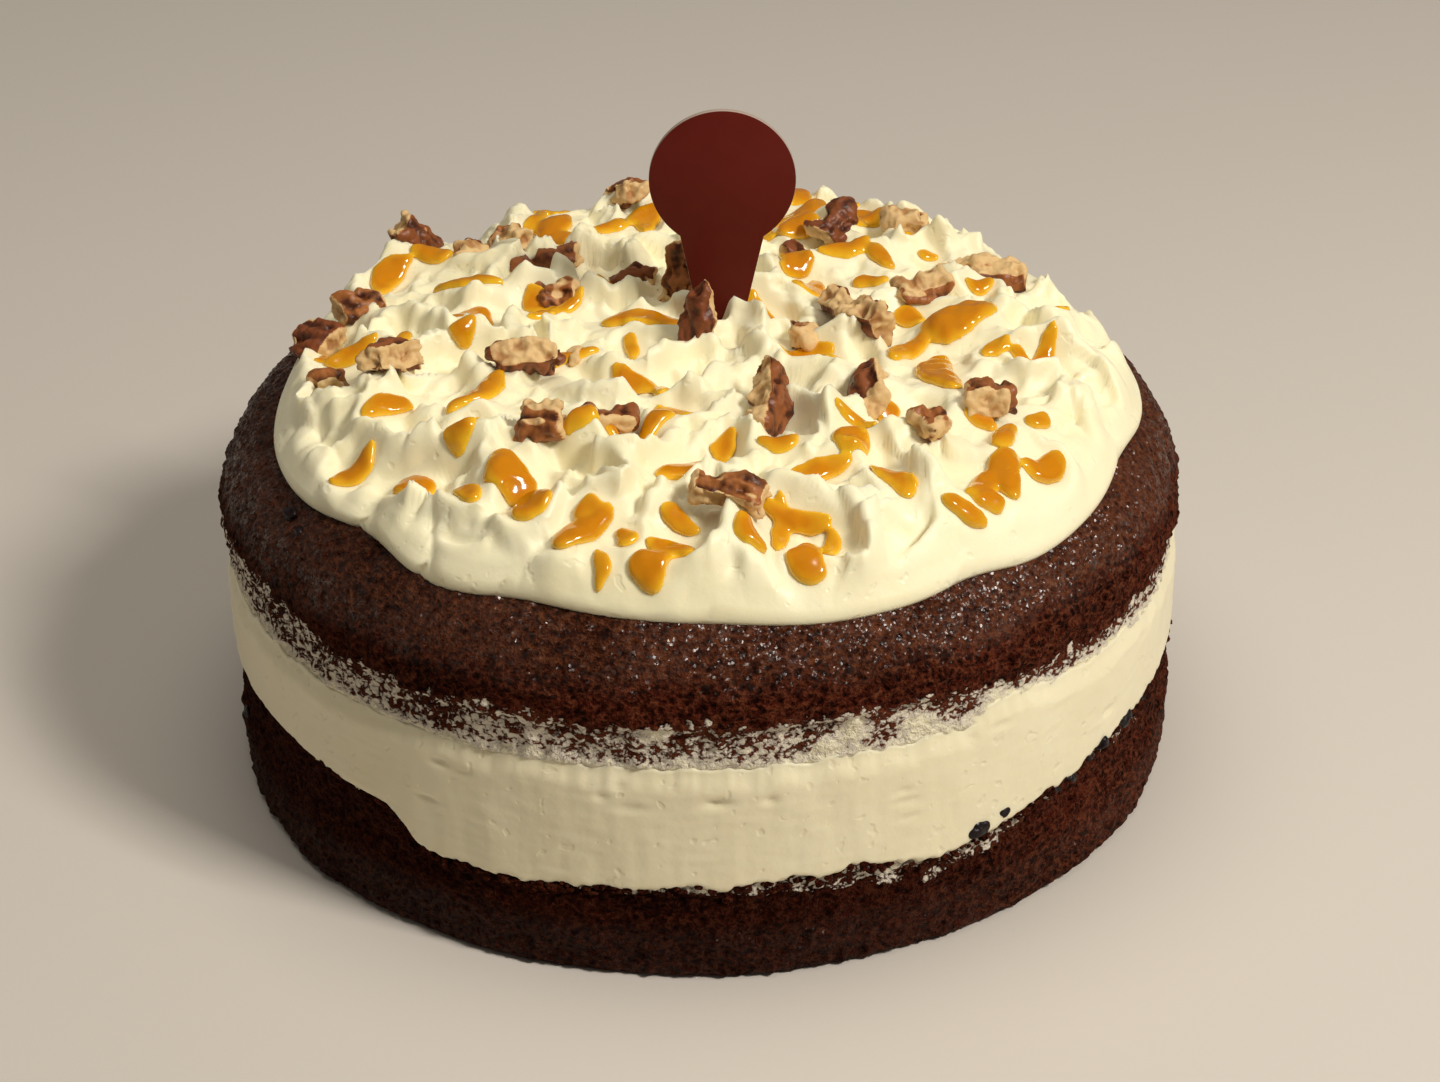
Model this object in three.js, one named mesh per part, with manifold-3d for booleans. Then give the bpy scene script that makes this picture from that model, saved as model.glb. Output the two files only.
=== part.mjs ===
// A round two-layer date cake: dark sponge, a band of cream filling, swirled cream with caramel drizzle,
// chopped pecan pieces and a plain round topper pick. Millimetres, +Z up, origin at the middle of the base.
import * as THREE from "three";
import { mergeVertices } from "three/addons/utils/BufferGeometryUtils.js";
import Module from "manifold-3d";

const wasm = await Module();
wasm.setup();

// Sponge layers
const cakeRadius = 100;
const spongeRadius = 98.5;
const baseRadius = 99.7;
const baseCorner = 2;
const bottomTop = 30;
const topStart = 46;
const crownRadius = 99.5;
const crownBase = 56;
const crownRise = 24;
const crownPower = 9;
const gap = 0.3;

// Cream filling: a disc with a skirt wiped over the edges of both sponges
const skirtInside = 99.1;
const skirtDrop = 7.5;
const skirtRise = 3.4;

// Cream topping
const creamRadius = 88.9;
const creamShift = 3;
const creamShiftAngle = -58;
const creamThick = 9.3;
const creamLeast = 2.4;
const creamRings = 19;
const strokeCount = 112;
const strokeReach = 90;

// Whole half kernel of a pecan, before chopping
const kernelLength = 28;
const kernelWidth = 16;
const kernelHeight = 10;
const nutSink = 2;

// Topper pick
const topperThick = 1.4;
const topperX = 4.7;
const topperY = 7.1;
const discRadius = 14.9;
const discHeight = 119.8;
const tipHeight = 82.3;
const tipHalf = 3.2;

const radians = (degrees) => (degrees * Math.PI) / 180;
const wrap = (angle) => angle - 2 * Math.PI * Math.round(angle / (2 * Math.PI));
const hump = (value, width) => Math.exp(-((value / width) ** 2));

function ramp(from, to, value) {
  const t = Math.min(1, Math.max(0, (value - from) / (to - from)));
  return t * t * (3 - 2 * t);
}

// Random draws from a seed, the same on every run
function seededDraw(seed) {
  let state = seed;
  return (low, high) => {
    state = (state * 16807) % 2147483647;
    return low + ((high - low) * state) / 2147483647;
  };
}

// Points that lie together become one
function joined(geometry) {
  geometry.deleteAttribute("normal");
  geometry.deleteAttribute("uv");
  return mergeVertices(geometry, 1e-4);
}

function toSolid(geometry) {
  const merged = joined(geometry);
  const mesh = new wasm.Mesh({
    numProp: 3,
    vertProperties: new Float32Array(merged.attributes.position.array),
    triVerts: new Uint32Array(merged.index.array),
  });
  return new wasm.Manifold(mesh);
}

function toGeometry(solid) {
  const mesh = solid.getMesh();
  const geometry = new THREE.BufferGeometry();
  geometry.setAttribute("position", new THREE.BufferAttribute(new Float32Array(mesh.vertProperties), 3));
  geometry.setIndex(new THREE.BufferAttribute(new Uint32Array(mesh.triVerts), 1));
  geometry.computeVertexNormals();
  return geometry;
}

function largestPiece(solid) {
  const pieces = solid.decompose();
  pieces.sort((a, b) => b.volume() - a.volume());
  return pieces[0];
}

function moveVertices(geometry, change) {
  const positions = geometry.attributes.position;
  const point = new THREE.Vector3();
  for (let i = 0; i < positions.count; i += 1) {
    point.fromBufferAttribute(positions, i);
    change(point, i);
    positions.setXYZ(i, point.x, point.y, point.z);
  }
  return geometry;
}

// A turned profile of [radius, height] pairs, standing on the XY plane
function turned(profile, segments) {
  const points = profile.map(([radius, height]) => new THREE.Vector2(radius, height));
  return joined(new THREE.LatheGeometry(points, segments).rotateX(Math.PI / 2));
}

// Baked sides are never quite round
function unevenSide(point, amount) {
  const angle = Math.atan2(point.y, point.x);
  const radius = Math.hypot(point.x, point.y);
  const share = ramp(0.8 * spongeRadius, spongeRadius, radius);
  const wave = Math.sin(3 * angle + 1) + Math.sin(7 * angle + point.z * 0.06) + Math.sin(13 * angle + 2);
  const factor = 1 + (share * amount * (wave - 1)) / (3 * radius + 1);
  point.x *= factor;
  point.y *= factor;
}

function crown(radius) {
  return crownBase + crownRise * Math.sqrt(Math.max(0, 1 - (radius / crownRadius) ** crownPower));
}

function bottomSponge() {
  const profile = [[0, 0]];
  for (let i = 0; i <= 3; i += 1) {
    const turn = (i / 3) * (Math.PI / 2);
    profile.push([baseRadius - baseCorner * (1 - Math.sin(turn)), baseCorner * (1 - Math.cos(turn))]);
  }
  profile.push([baseRadius, 13], [spongeRadius, 18], [spongeRadius, bottomTop - gap], [0, bottomTop - gap]);
  return moveVertices(turned(profile, 60), (point) => {
    if (point.z > 0.01) {
      unevenSide(point, 0.5);
    }
  });
}

// The baked edge of the top sponge swells past the filling before it rounds over into the crown
function topSponge() {
  const profile = [[0, topStart + gap], [spongeRadius, topStart + gap], [spongeRadius, topStart + 9]];
  const steps = 9;
  for (let i = 0; i < steps; i += 1) {
    const turn = (Math.PI / 2) * (1 - i / steps);
    const radius = crownRadius * Math.sin(turn) ** (2 / crownPower);
    profile.push([radius, crownBase + crownRise * Math.cos(turn)]);
  }
  profile.push([0, crownBase + crownRise]);
  return moveVertices(turned(profile, 60), (point) => {
    unevenSide(point, 0.5);
    const swell = 1 + 0.004 * hump(point.z - 63, 5) * (1 + Math.cos(Math.atan2(point.y, point.x) - 2.9));
    point.x *= swell;
    point.y *= swell;
  });
}

// How far the wiped cream reaches below and above the filling at an angle in degrees
function skirtBelow(degrees) {
  const front = ramp(-128.5, -122, degrees) * (1 - ramp(-66, -36, degrees));
  const left = ramp(-150, -128, degrees) * (1 - ramp(140, 175, degrees));
  return 1.2 + 1.4 * left + skirtDrop * front + 4 * hump(degrees - 95, 30);
}

function skirtAbove(degrees) {
  const back = ramp(-50, -30, degrees) * (1 - ramp(140, 175, degrees));
  return 1 + skirtRise * hump(degrees + 53, 8) + 1.4 * back + 2.5 * hump(degrees - 80, 40);
}

function filling() {
  const profile = [
    [0, bottomTop],
    [skirtInside, bottomTop],
    [skirtInside, bottomTop - 1],
    [cakeRadius, bottomTop - 1],
    [cakeRadius, topStart + 1],
    [skirtInside, topStart + 1],
    [skirtInside, topStart],
    [0, topStart],
  ];
  return moveVertices(turned(profile, 72), (point) => {
    const degrees = (Math.atan2(point.y, point.x) * 180) / Math.PI;
    if (point.z < bottomTop - 0.5) {
      point.z = bottomTop - skirtBelow(degrees);
    } else if (point.z > topStart + 0.5) {
      point.z = topStart + skirtAbove(degrees);
    }
  });
}

// Folds where one spread of cream meets the next at the rim: [angle, depth, half width in degrees]
const folds = [
  [-136, 3.4, 9], [-112, 1.2, 7], [-86, 0.7, 8], [-56, 1.4, 6], [-20, 1.5, 8], [18, 2, 8],
  [55, 1.6, 9], [92, 2.2, 8], [128, 1.6, 9], [172, 2.2, 20], [30, 3.5, 32],
];

function rimRadius(angle) {
  let radius = creamRadius + creamShift * Math.cos(angle - radians(creamShiftAngle));
  radius += 0.6 * Math.sin(5 * angle + 1) + 0.4 * Math.sin(9 * angle + 2);
  for (const [degrees, depth, width] of folds) {
    radius -= depth * hump(wrap(angle - radians(degrees)), radians(width));
  }
  return radius;
}

// Creases that run in from the rim where the spreads of cream meet: [angle, depth, slant]
const creases = [
  [-136, 4.2, -0.5], [-123, 2.6, -0.9], [-112, 1.5, 0.4], [-75, 0.9, 0.5], [-20, 1.2, -0.6], [18, 2.2, 0.6],
  [55, 1.8, 0.5], [92, 2.2, -0.6], [128, 1.8, 0.6], [172, 2.4, 0.5], [-160, 2, -0.5],
];

// Spoon strokes spread over the top: each is an arc that leaves a scoop, two rolls beside it and a pulled-up tip
function makeStrokes() {
  const draw = seededDraw(11);
  const strokes = [];
  for (let i = 0; i < strokeCount; i += 1) {
    const reach = strokeReach * Math.sqrt((i + 0.5) / strokeCount);
    const angle = i * 2.399963 + draw(-0.3, 0.3);
    const x = reach * Math.cos(angle) + 2.6;
    const y = reach * Math.sin(angle) - 2.2;
    const heading = angle + Math.PI / 2 + draw(-1.3, 1.3);
    const bend = draw(9, 20);
    const length = draw(17, 27);
    const half = draw(4.6, 7);
    const depth = draw(3, 4.6);
    const sense = draw(0, 1) > 0.35 ? 1 : -1;
    const level = draw(-0.8, 0.8);
    const peak = draw(2.5, 6.5);
    const centreX = x - sense * bend * Math.sin(heading);
    const centreY = y + sense * bend * Math.cos(heading);
    const middle = Math.atan2(y - centreY, x - centreX);
    const end = middle + (sense * length * 0.5) / bend;
    strokes.push({
      centreX, centreY, middle, bend, length, half, depth, sense, level, peak,
      endX: centreX + bend * Math.cos(end),
      endY: centreY + bend * Math.sin(end),
      lean: end + (sense * Math.PI) / 2,
    });
  }
  return strokes.map((_, i) => strokes[(i * 41) % strokeCount]);
}

const strokes = makeStrokes();

// A point of the cream's upper skin for a place in plan, with its crests leaning the way they were pulled
function creamPoint(x, y) {
  let height = 1.2 * Math.sin(x / 11 + 1) * Math.sin(y / 13 + 2);
  let leanX = 0;
  let leanY = 0;
  for (const stroke of strokes) {
    const dx = x - stroke.centreX;
    const dy = y - stroke.centreY;
    const swept = wrap(Math.atan2(dy, dx) - stroke.middle) * stroke.sense;
    const along = (swept * stroke.bend) / stroke.length + 0.5;
    const width = stroke.half * (1 - 0.6 * ramp(0.55, 1, along));
    const across = (Math.hypot(dx, dy) - stroke.bend) / width;
    const run = ramp(0, 0.3, along) * (1 - ramp(0.86, 1.1, along));
    const scoop = run * (1 - ramp(0.75, 1, Math.abs(across)));
    const floor = stroke.level + stroke.depth * (0.9 * across ** 2 - 0.8 + 0.7 * along ** 2);
    height += (floor - height) * scoop * 0.95;
    const past = (Math.abs(across) - 1) * width - 1.3;
    const roll = Math.max(0, 1 - (past / (past > 0 ? 3.4 : 2.4)) ** 2) ** 0.6;
    height += 0.85 * stroke.depth * run * (0.35 + 0.65 * along) * roll * (1 + 0.3 * Math.sign(across));
    const away = ((x - stroke.endX) ** 2 + (y - stroke.endY) ** 2) / 4.8;
    const tip = stroke.peak * Math.exp(0.3 - Math.sqrt(away + 0.09));
    height += tip;
    leanX += 0.6 * tip * Math.cos(stroke.lean);
    leanY += 0.6 * tip * Math.sin(stroke.lean);
  }
  height = (height - 1.6) * (1 - 0.35 * hump(Math.hypot(x - 56, y + 50), 30));
  const limit = height > 0 ? 5.6 : 4.6;
  height = limit * Math.tanh(height / limit);
  const radius = Math.hypot(x, y);
  const angle = Math.atan2(y, x);
  const rim = rimRadius(angle);
  const share = Math.min(1, radius / rim);
  const inner = 1 - ramp(0.93, 1, share);
  const lip = Math.sqrt(1 - share ** 18);
  let skin = crown(radius) + creamThick * lip + height * inner;
  // a groove behind the rolled lip, deepest at the left
  const behind = rim - radius - (9.5 + 2.2 * Math.sin(3 * angle + 1) + 1.4 * Math.sin(8 * angle));
  skin -= 1.7 * (1 + Math.cos(angle + radians(125))) * Math.exp(behind > 0 ? -behind / 5 : behind / 1.6);
  for (const [degrees, depth, slant] of creases) {
    const aside = wrap(angle - radians(degrees) - slant * (1 - share)) * radius;
    const groove = Math.exp(aside > 0 ? -aside / 1.5 : aside / 6);
    skin -= depth * groove * ramp(0.7, 0.92, share) * (1 - ramp(0.985, 1, share));
  }
  // the sponge never shows through
  const spare = skin - crown(radius) - creamLeast * lip;
  skin += 0.5 * (Math.hypot(spare, 2) - spare);
  return new THREE.Vector3(x + leanX * inner, y + leanY * inner, skin);
}

// Triangles between two rings of points that start at the same angle
function stitch(triangles, firstA, countA, firstB, countB) {
  let a = 0;
  let b = 0;
  while (a < countA || b < countB) {
    const stepB = b < countB && (a >= countA || countA === 1 || (b + 1) / countB < (a + 1) / countA);
    if (stepB) {
      triangles.push(firstA + (a % countA), firstB + (b % countB), firstB + ((b + 1) % countB));
      b += 1;
    } else {
      if (countA > 1) {
        triangles.push(firstA + (a % countA), firstB + (b % countB), firstA + ((a + 1) % countA));
      }
      a += 1;
    }
  }
}

// The cream as rings of points from the middle of its skin, over the rim and back under into the crown
function creamBody() {
  const rings = [];
  const ring = (count, place) => {
    rings.push(Array.from({ length: count }, (_, i) => place((i / count) * 2 * Math.PI)));
  };
  const skin = (share) => (angle) => {
    const radius = share * rimRadius(angle);
    return creamPoint(radius * Math.cos(angle), radius * Math.sin(angle));
  };
  const under = (share, lift) => (angle) => {
    const radius = share * rimRadius(angle);
    return new THREE.Vector3(radius * Math.cos(angle), radius * Math.sin(angle), crown(radius) + lift);
  };
  ring(1, skin(0));
  for (let i = 1; i <= creamRings; i += 1) {
    ring(6 * i, skin(1 - (1 - (0.99 * i) / creamRings) ** 1.15));
  }
  ring(6 * creamRings, under(1, 1.6));
  ring(6 * creamRings, under(0.98, -1));
  ring(24, under(0.8, -6));
  ring(1, under(0, -6));
  const positions = rings.flat().flatMap((point) => [point.x, point.y, point.z]);
  const triangles = [];
  let first = 0;
  for (let i = 0; i + 1 < rings.length; i += 1) {
    const next = first + rings[i].length;
    stitch(triangles, first, rings[i].length, next, rings[i + 1].length);
    first = next;
  }
  const geometry = new THREE.BufferGeometry();
  geometry.setAttribute("position", new THREE.Float32BufferAttribute(positions, 3));
  geometry.setIndex(triangles);
  return toSolid(geometry);
}

// Half a pecan kernel along X with its ridged back up, two lobes and a groove between them
function kernel(size) {
  const shape = joined(new THREE.SphereGeometry(1, 12, 8).rotateZ(Math.PI / 2));
  return moveVertices(shape, (point) => {
    const around = Math.atan2(point.z, point.y);
    const groove = 0.34 * hump(around - Math.PI / 2, 0.45) + 0.3 * hump(around + Math.PI / 2, 0.5);
    const plump = (1 - groove) * (1 + 0.07 * Math.cos(9 * point.x));
    point.y *= plump;
    point.z *= plump * (point.z < 0 ? 0.55 : 1);
    point.multiply(new THREE.Vector3(kernelLength / 2, kernelWidth / 2, kernelHeight / 2));
    point.multiplyScalar(size);
  });
}

function placedBox(width, depth, height, turn, x, y) {
  return toSolid(new THREE.BoxGeometry(width, depth, height).rotateZ(turn).translate(x, y, 0));
}

// A chopped piece: the kernel cut across at two places along its length, and for a side of 1 or -1
// split along the groove as well. Its middle is brought to the origin.
function choppedNut(size, from, to, side, slant) {
  const length = kernelLength * size;
  const middle = ((from + to) / 2 - 0.5) * length;
  let piece = toSolid(kernel(size));
  piece = piece.intersect(placedBox((to - from) * length, 60, 60, slant, middle, 0));
  if (side !== 0) {
    piece = piece.intersect(placedBox(80, 40, 60, -0.5 * slant, 0, side * 20.4));
  }
  const box = piece.boundingBox();
  const centre = [0, 1, 2].map((axis) => (box.min[axis] + box.max[axis]) / 2);
  return toGeometry(piece).translate(-centre[0], -centre[1], -centre[2]);
}

// Where each piece lies: x, y, turn of its length in plan, roll about it, pitch of its far end,
// then size of the kernel, where it is cut along the length, and which lobe it is
const nutPieces = [
  [-61, 47, 200, 0, 50, 1, 0.36, 0.75, 1],
  [-71, 14, 15, 0, 5, 0.9, 0.36, 0.7, -1],
  [-80, 6, -25, 10, 5, 0.95, 0.36, 0.68, -1],
  [-73, -16, -80, 10, 20, 0.9, 0.4, 0.72, 1],
  [-62, -20, -130, 25, 15, 1, 0.4, 0.76, -1],
  [-33, 36, 10, 0, 5, 0.9, 0.25, 0.77, -1],
  [-31, 18, -15, 10, 8, 0.9, 0.3, 0.74, -1],
  [-49, 43, -70, 0, 30, 0.85, 0.4, 0.69, 1],
  [-40, 49, -40, 10, 20, 0.85, 0.36, 0.7, 1],
  [-34, -18, 95, 0, 125, 0.9, 0.3, 0.6, 0],
  [-24, -11, -80, 20, 10, 0.55, 0.6, 0.88, 1],
  [-15, 68, -60, 0, 30, 0.95, 0.45, 0.75, 1],
  [-14, 27, 15, 10, 5, 0.95, 0.3, 0.66, 1],
  [-4, 21, 70, -20, 70, 0.8, 0.3, 0.8, -1],
  [0, -6, 95, 0, 78, 0.9, 0.4, 0.95, 1],
  [-30, -49, -20, 20, 12, 0.95, 0.42, 0.74, -1],
  [-18, -46, -92, 0, 12, 0.75, 0.44, 0.66, 0],
  [15, -38, -100, -45, -8, 1, 0.15, 0.87, 1],
  [6, -72, 165, -25, 8, 0.9, 0.3, 0.82, -1],
  [33, 1, -60, -60, 6, 1.05, 0.12, 0.84, 1],
  [22, -3, -100, 0, 20, 0.9, 0.5, 0.8, 1],
  [33, -32, -88, 40, 6, 1, 0.28, 0.74, -1],
  [57, -36, -95, 0, 18, 1.1, 0.38, 0.66, 1],
  [45, -49, -130, 10, 10, 0.85, 0.42, 0.68, 1],
  [32, 48, 40, 0, 25, 1, 0.5, 1, -1],
  [46, 53, -20, 10, 10, 0.9, 0.36, 0.7, 1],
  [21, 36, -90, 0, 20, 0.8, 0.55, 0.85, 1],
  [47, 14, 20, 0, 5, 0.95, 0.32, 0.7, -1],
  [60, 29, -10, 5, 6, 1, 0.16, 0.78, -1],
];

function placedNut([x, y, turn, roll, pitch, size, from, to, side], index) {
  const piece = choppedNut(size, from, to, side, 0.3 * Math.sin(index * 2.1));
  piece.rotateX(radians(roll)).rotateY(radians(-pitch)).rotateZ(radians(turn));
  piece.computeBoundingBox();
  let ground = 0;
  for (const [dx, dy] of [[0, 0], [3, 0], [-3, 0], [0, 3], [0, -3]]) {
    ground += creamPoint(x + dx, y + dy).z / 5;
  }
  return piece.translate(x, y, ground - nutSink - piece.boundingBox.min.z);
}

// The same piece a little larger, to leave clearance round it
function withClearance(geometry) {
  const box = new THREE.Box3().setFromBufferAttribute(geometry.attributes.position);
  const middle = box.getCenter(new THREE.Vector3());
  const half = box.getSize(new THREE.Vector3()).multiplyScalar(0.5);
  const larger = geometry.clone();
  return moveVertices(larger, (point) => {
    point.sub(middle);
    point.x *= 1 + gap / half.x;
    point.y *= 1 + gap / half.y;
    point.z *= 1 + gap / half.z;
    point.add(middle);
  });
}

// Caramel drizzle, largest first: x, y, length, width, turn in plan
const drizzle = [
  [51, 2, 13, 9, 0], [51, -24, 16, 7, 90], [-12, 7, 17, 5, 0], [-38, -58, 9, 8, 0], [-43, -32, 14, 4.5, 55],
  [-29, -70, 8, 6.5, 90], [-47, 9, 8, 6.5, 0], [21, -10, 11, 4.5, 0], [61, -60, 9, 5.5, 90], [21, 19, 9, 5.5, 90],
  [29, -13, 11, 5, -45], [20, 31, 7, 6, 90], [-46, 23, 13, 4, -25], [29, -53, 6, 6.5, 0], [-69, 38, 11, 4.5, 55],
  [-54, -52, 7, 5.5, 0], [-24, -76, 11, 5, 50], [32, 39, 11, 4.5, 35], [71, 7, 11, 4.5, 90], [66, -52, 7, 5.5, 0],
  [20, -83, 7, 6, 90], [-8, -85, 7, 6, 90], [43, -8, 12, 4, 60], [-5, -57, 10, 5, 40],
];

function caramelDrop([x, y, length, width, turn]) {
  const step = 1.5;
  const slopeX = (creamPoint(x + step, y).z - creamPoint(x - step, y).z) / (2 * step);
  const slopeY = (creamPoint(x, y + step).z - creamPoint(x, y - step).z) / (2 * step);
  const up = new THREE.Vector3(-slopeX, -slopeY, 1).normalize();
  const lean = new THREE.Quaternion().setFromUnitVectors(new THREE.Vector3(0, 0, 1), up);
  const drop = new THREE.SphereGeometry(1, 7, 4).rotateX(Math.PI / 2).scale(length / 2, width / 2, 1.7);
  drop.rotateZ(radians(turn)).applyQuaternion(lean);
  return toSolid(drop.translate(x, y, creamPoint(x, y).z));
}

// A round head on a stem that tapers into the cream
function topper() {
  const outline = new THREE.Shape();
  const neck = radians(35);
  const centre = discHeight - tipHeight;
  outline.moveTo(-tipHalf, 0);
  outline.lineTo(tipHalf, 0);
  outline.absarc(0, centre, discRadius, neck - Math.PI / 2, 1.5 * Math.PI - neck, false);
  outline.closePath();
  const plate = new THREE.ExtrudeGeometry(outline, { depth: topperThick, bevelEnabled: false, curveSegments: 40 });
  plate.rotateX(Math.PI / 2).rotateY(radians(1.2));
  return plate.translate(topperX, topperY + topperThick / 2, tipHeight);
}

const group = new THREE.Group();

function add(name, geometry, color, roughness) {
  const material = new THREE.MeshStandardMaterial({ color, roughness, metalness: 0 });
  const mesh = new THREE.Mesh(geometry, material);
  mesh.name = name;
  group.add(mesh);
}

const nuts = nutPieces.map(placedNut);
const pick = topper();

const crownSponge = topSponge();

let cream = wasm.Manifold.union([creamBody(), ...drizzle.map(caramelDrop)]);
cream = cream.subtract(toSolid(crownSponge.clone().translate(0, 0, gap)));
for (const solid of [...nuts, pick]) {
  cream = cream.subtract(toSolid(withClearance(solid)));
}

add("sponge_bottom", bottomSponge(), 0x472a1e, 0.85);
add("cream_filling", filling(), 0xeae3cb, 0.55);
add("sponge_top", crownSponge, 0x4a2a1d, 0.75);
add("cream_topping", toGeometry(largestPiece(cream)), 0xf6efd6, 0.5);
add("topper", pick, 0x551a1c, 0.45);
nuts.forEach((nut, i) => {
  add(`pecan_${String(i + 1).padStart(2, "0")}`, nut, 0x8a5230, 0.6);
});

export default group;
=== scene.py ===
import itertools
import math
import bpy
import numpy as np
from mathutils import Matrix, Vector, noise


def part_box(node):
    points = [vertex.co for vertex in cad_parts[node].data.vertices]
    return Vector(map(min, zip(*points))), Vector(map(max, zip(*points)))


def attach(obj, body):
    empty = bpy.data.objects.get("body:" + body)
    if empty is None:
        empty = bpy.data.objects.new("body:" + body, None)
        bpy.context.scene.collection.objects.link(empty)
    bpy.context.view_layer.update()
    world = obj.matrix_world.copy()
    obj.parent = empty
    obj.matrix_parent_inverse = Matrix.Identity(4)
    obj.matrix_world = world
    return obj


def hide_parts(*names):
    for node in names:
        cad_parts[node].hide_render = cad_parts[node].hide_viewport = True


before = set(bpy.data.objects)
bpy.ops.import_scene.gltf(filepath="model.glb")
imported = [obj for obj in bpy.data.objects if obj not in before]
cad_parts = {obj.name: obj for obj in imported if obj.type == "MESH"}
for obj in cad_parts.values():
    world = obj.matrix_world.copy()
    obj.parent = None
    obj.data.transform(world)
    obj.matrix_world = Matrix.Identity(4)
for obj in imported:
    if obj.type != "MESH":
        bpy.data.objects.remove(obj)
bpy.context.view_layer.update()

mm = 0.001  # pieces are sized in millimetres, camera and stage in metres


def turnBy(degrees, axis, size=3):
    return Matrix.Rotation(math.radians(degrees), size, axis)


# Camera where the cake was seen from
cameraSet = {
    "lens": 75,
    "sensor": 36,
    "place": (0.003902, -0.557886, 0.352768),
    "down": 29.284,  # degrees below level
    "roll": -0.862,
}


def addCamera():
    bpy.ops.object.select_all(action="DESELECT")
    bpy.ops.object.camera_add()
    camera = bpy.context.object
    camera.name = "cakeCamera"
    camera.data.lens = cameraSet["lens"]
    camera.data.sensor_width = cameraSet["sensor"]
    camera.data.clip_start = 0.01
    aim = turnBy(90 - cameraSet["down"], "X", 4) @ turnBy(cameraSet["roll"], "Z", 4)
    camera.matrix_world = Matrix.Translation(cameraSet["place"]) @ aim
    bpy.context.scene.camera = camera


addCamera()
print("camera set")


# Small maths shared by the pieces
def ramp(start, stop, value):
    t = np.clip((value - start) / (stop - start), 0, 1)
    return t * t * (3 - 2 * t)


def hump(value, width):
    return np.exp(-((value / width) ** 2))


def wrapTurn(angle):
    return angle - 2 * np.pi * np.round(angle / (2 * np.pi))


# Steady random draws, the same ones as the solid's
def seededDraw(seed):
    step, most = 16807, 2147483647
    state = [seed]

    def draw(low, high):
        state[0] = (state[0] * step) % most
        return low + (high - low) * state[0] / most

    return draw


def noiseAt(points, size, shift=0.0):
    scaled = np.asarray(points, float) / size + shift
    return np.array([noise.noise(p) for p in scaled])


def anglesOf(points):
    return np.degrees(np.arctan2(points[:, 1], points[:, 0]))


def reachOf(points):
    return np.hypot(points[:, 0], points[:, 1])


# Mesh helpers
def startPiece(name):
    piece = bpy.context.object
    piece.name = name
    piece.data.name = name
    return piece


def useAlone(piece):
    bpy.ops.object.select_all(action="DESELECT")
    piece.select_set(True)
    bpy.context.view_layer.objects.active = piece


def readPoints(piece):
    points = np.empty(len(piece.data.vertices) * 3)
    piece.data.vertices.foreach_get("co", points)
    return points.reshape(-1, 3) / mm


def readNormals(piece):
    normals = np.empty(len(piece.data.vertices) * 3)
    piece.data.vertices.foreach_get("normal", normals)
    return normals.reshape(-1, 3)


def writePoints(piece, points):
    piece.data.vertices.foreach_set("co", (points * mm).ravel())
    piece.data.update()


def setAttribute(piece, label, values):
    layer = piece.data.attributes.new(label, "FLOAT", "POINT")
    layer.data.foreach_set("value", np.asarray(values, np.float32))


def closeMesh(piece, reach=0.002):
    useAlone(piece)
    bpy.ops.object.mode_set(mode="EDIT")
    bpy.ops.mesh.select_all(action="SELECT")
    bpy.ops.mesh.remove_doubles(threshold=reach * mm)
    bpy.ops.mesh.normals_make_consistent(inside=False)
    bpy.ops.object.mode_set(mode="OBJECT")
    bpy.ops.object.shade_smooth()


def applyModifier(piece, kind, **settings):
    useAlone(piece)
    made = piece.modifiers.new(kind.lower(), kind)
    for key, value in settings.items():
        setattr(made, key, value)
    bpy.ops.object.modifier_apply(modifier=made.name)


# A profile of radius and height, drawn one point after another and turned round the middle
def turnProfile(name, profile, steps):
    bpy.ops.object.select_all(action="DESELECT")
    bpy.ops.mesh.primitive_plane_add(size=mm)
    piece = startPiece(name)
    bpy.ops.object.mode_set(mode="EDIT")
    bpy.ops.mesh.select_mode(type="VERT")
    bpy.ops.mesh.select_all(action="SELECT")
    bpy.ops.mesh.merge(type="CENTER")
    radius, height = profile[0]
    bpy.ops.transform.translate(value=(radius * mm, 0, height * mm))
    for nextRadius, nextHeight in profile[1:]:
        step = ((nextRadius - radius) * mm, 0, (nextHeight - height) * mm)
        bpy.ops.mesh.extrude_vertices_move(TRANSFORM_OT_translate={"value": step})
        radius, height = nextRadius, nextHeight
    bpy.ops.object.mode_set(mode="OBJECT")
    turned = {"axis": "Z", "angle": 2 * math.pi, "steps": steps, "render_steps": steps}
    applyModifier(piece, "SCREW", use_merge_vertices=True, merge_threshold=0.001 * mm, **turned)
    closeMesh(piece)
    return piece


def finishPiece(piece, material, nodes):
    piece.data.materials.clear()
    piece.data.materials.append(material)
    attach(piece, "root")
    for node in nodes:
        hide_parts(node)


# Material helpers
def plug(tree, socket, value):
    if isinstance(value, bpy.types.NodeSocket):
        tree.links.new(value, socket)
    else:
        socket.default_value = value


def addNode(tree, kind, inputs=None, **settings):
    made = tree.nodes.new("ShaderNode" + kind)
    for key, value in settings.items():
        setattr(made, key, value)
    for key, value in (inputs or {}).items():
        plug(tree, made.inputs[key], value)
    return made


def setInputs(node, values):
    for label, value in values.items():
        node.inputs[label].default_value = value


def math2(tree, operation, first, second=0.0):
    return addNode(tree, "Math", {0: first, 1: second}, operation=operation).outputs[0]


def vector2(tree, operation, first, second, result="Vector"):
    return addNode(tree, "VectorMath", {0: first, 1: second}, operation=operation).outputs[result]


# Sum of values, each with its weight
def weigh(tree, *parts):
    total = None
    for value, weight in parts:
        part = value if weight == 1 else math2(tree, "MULTIPLY", value, weight)
        total = part if total is None else math2(tree, "ADD", total, part)
    return total


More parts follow.
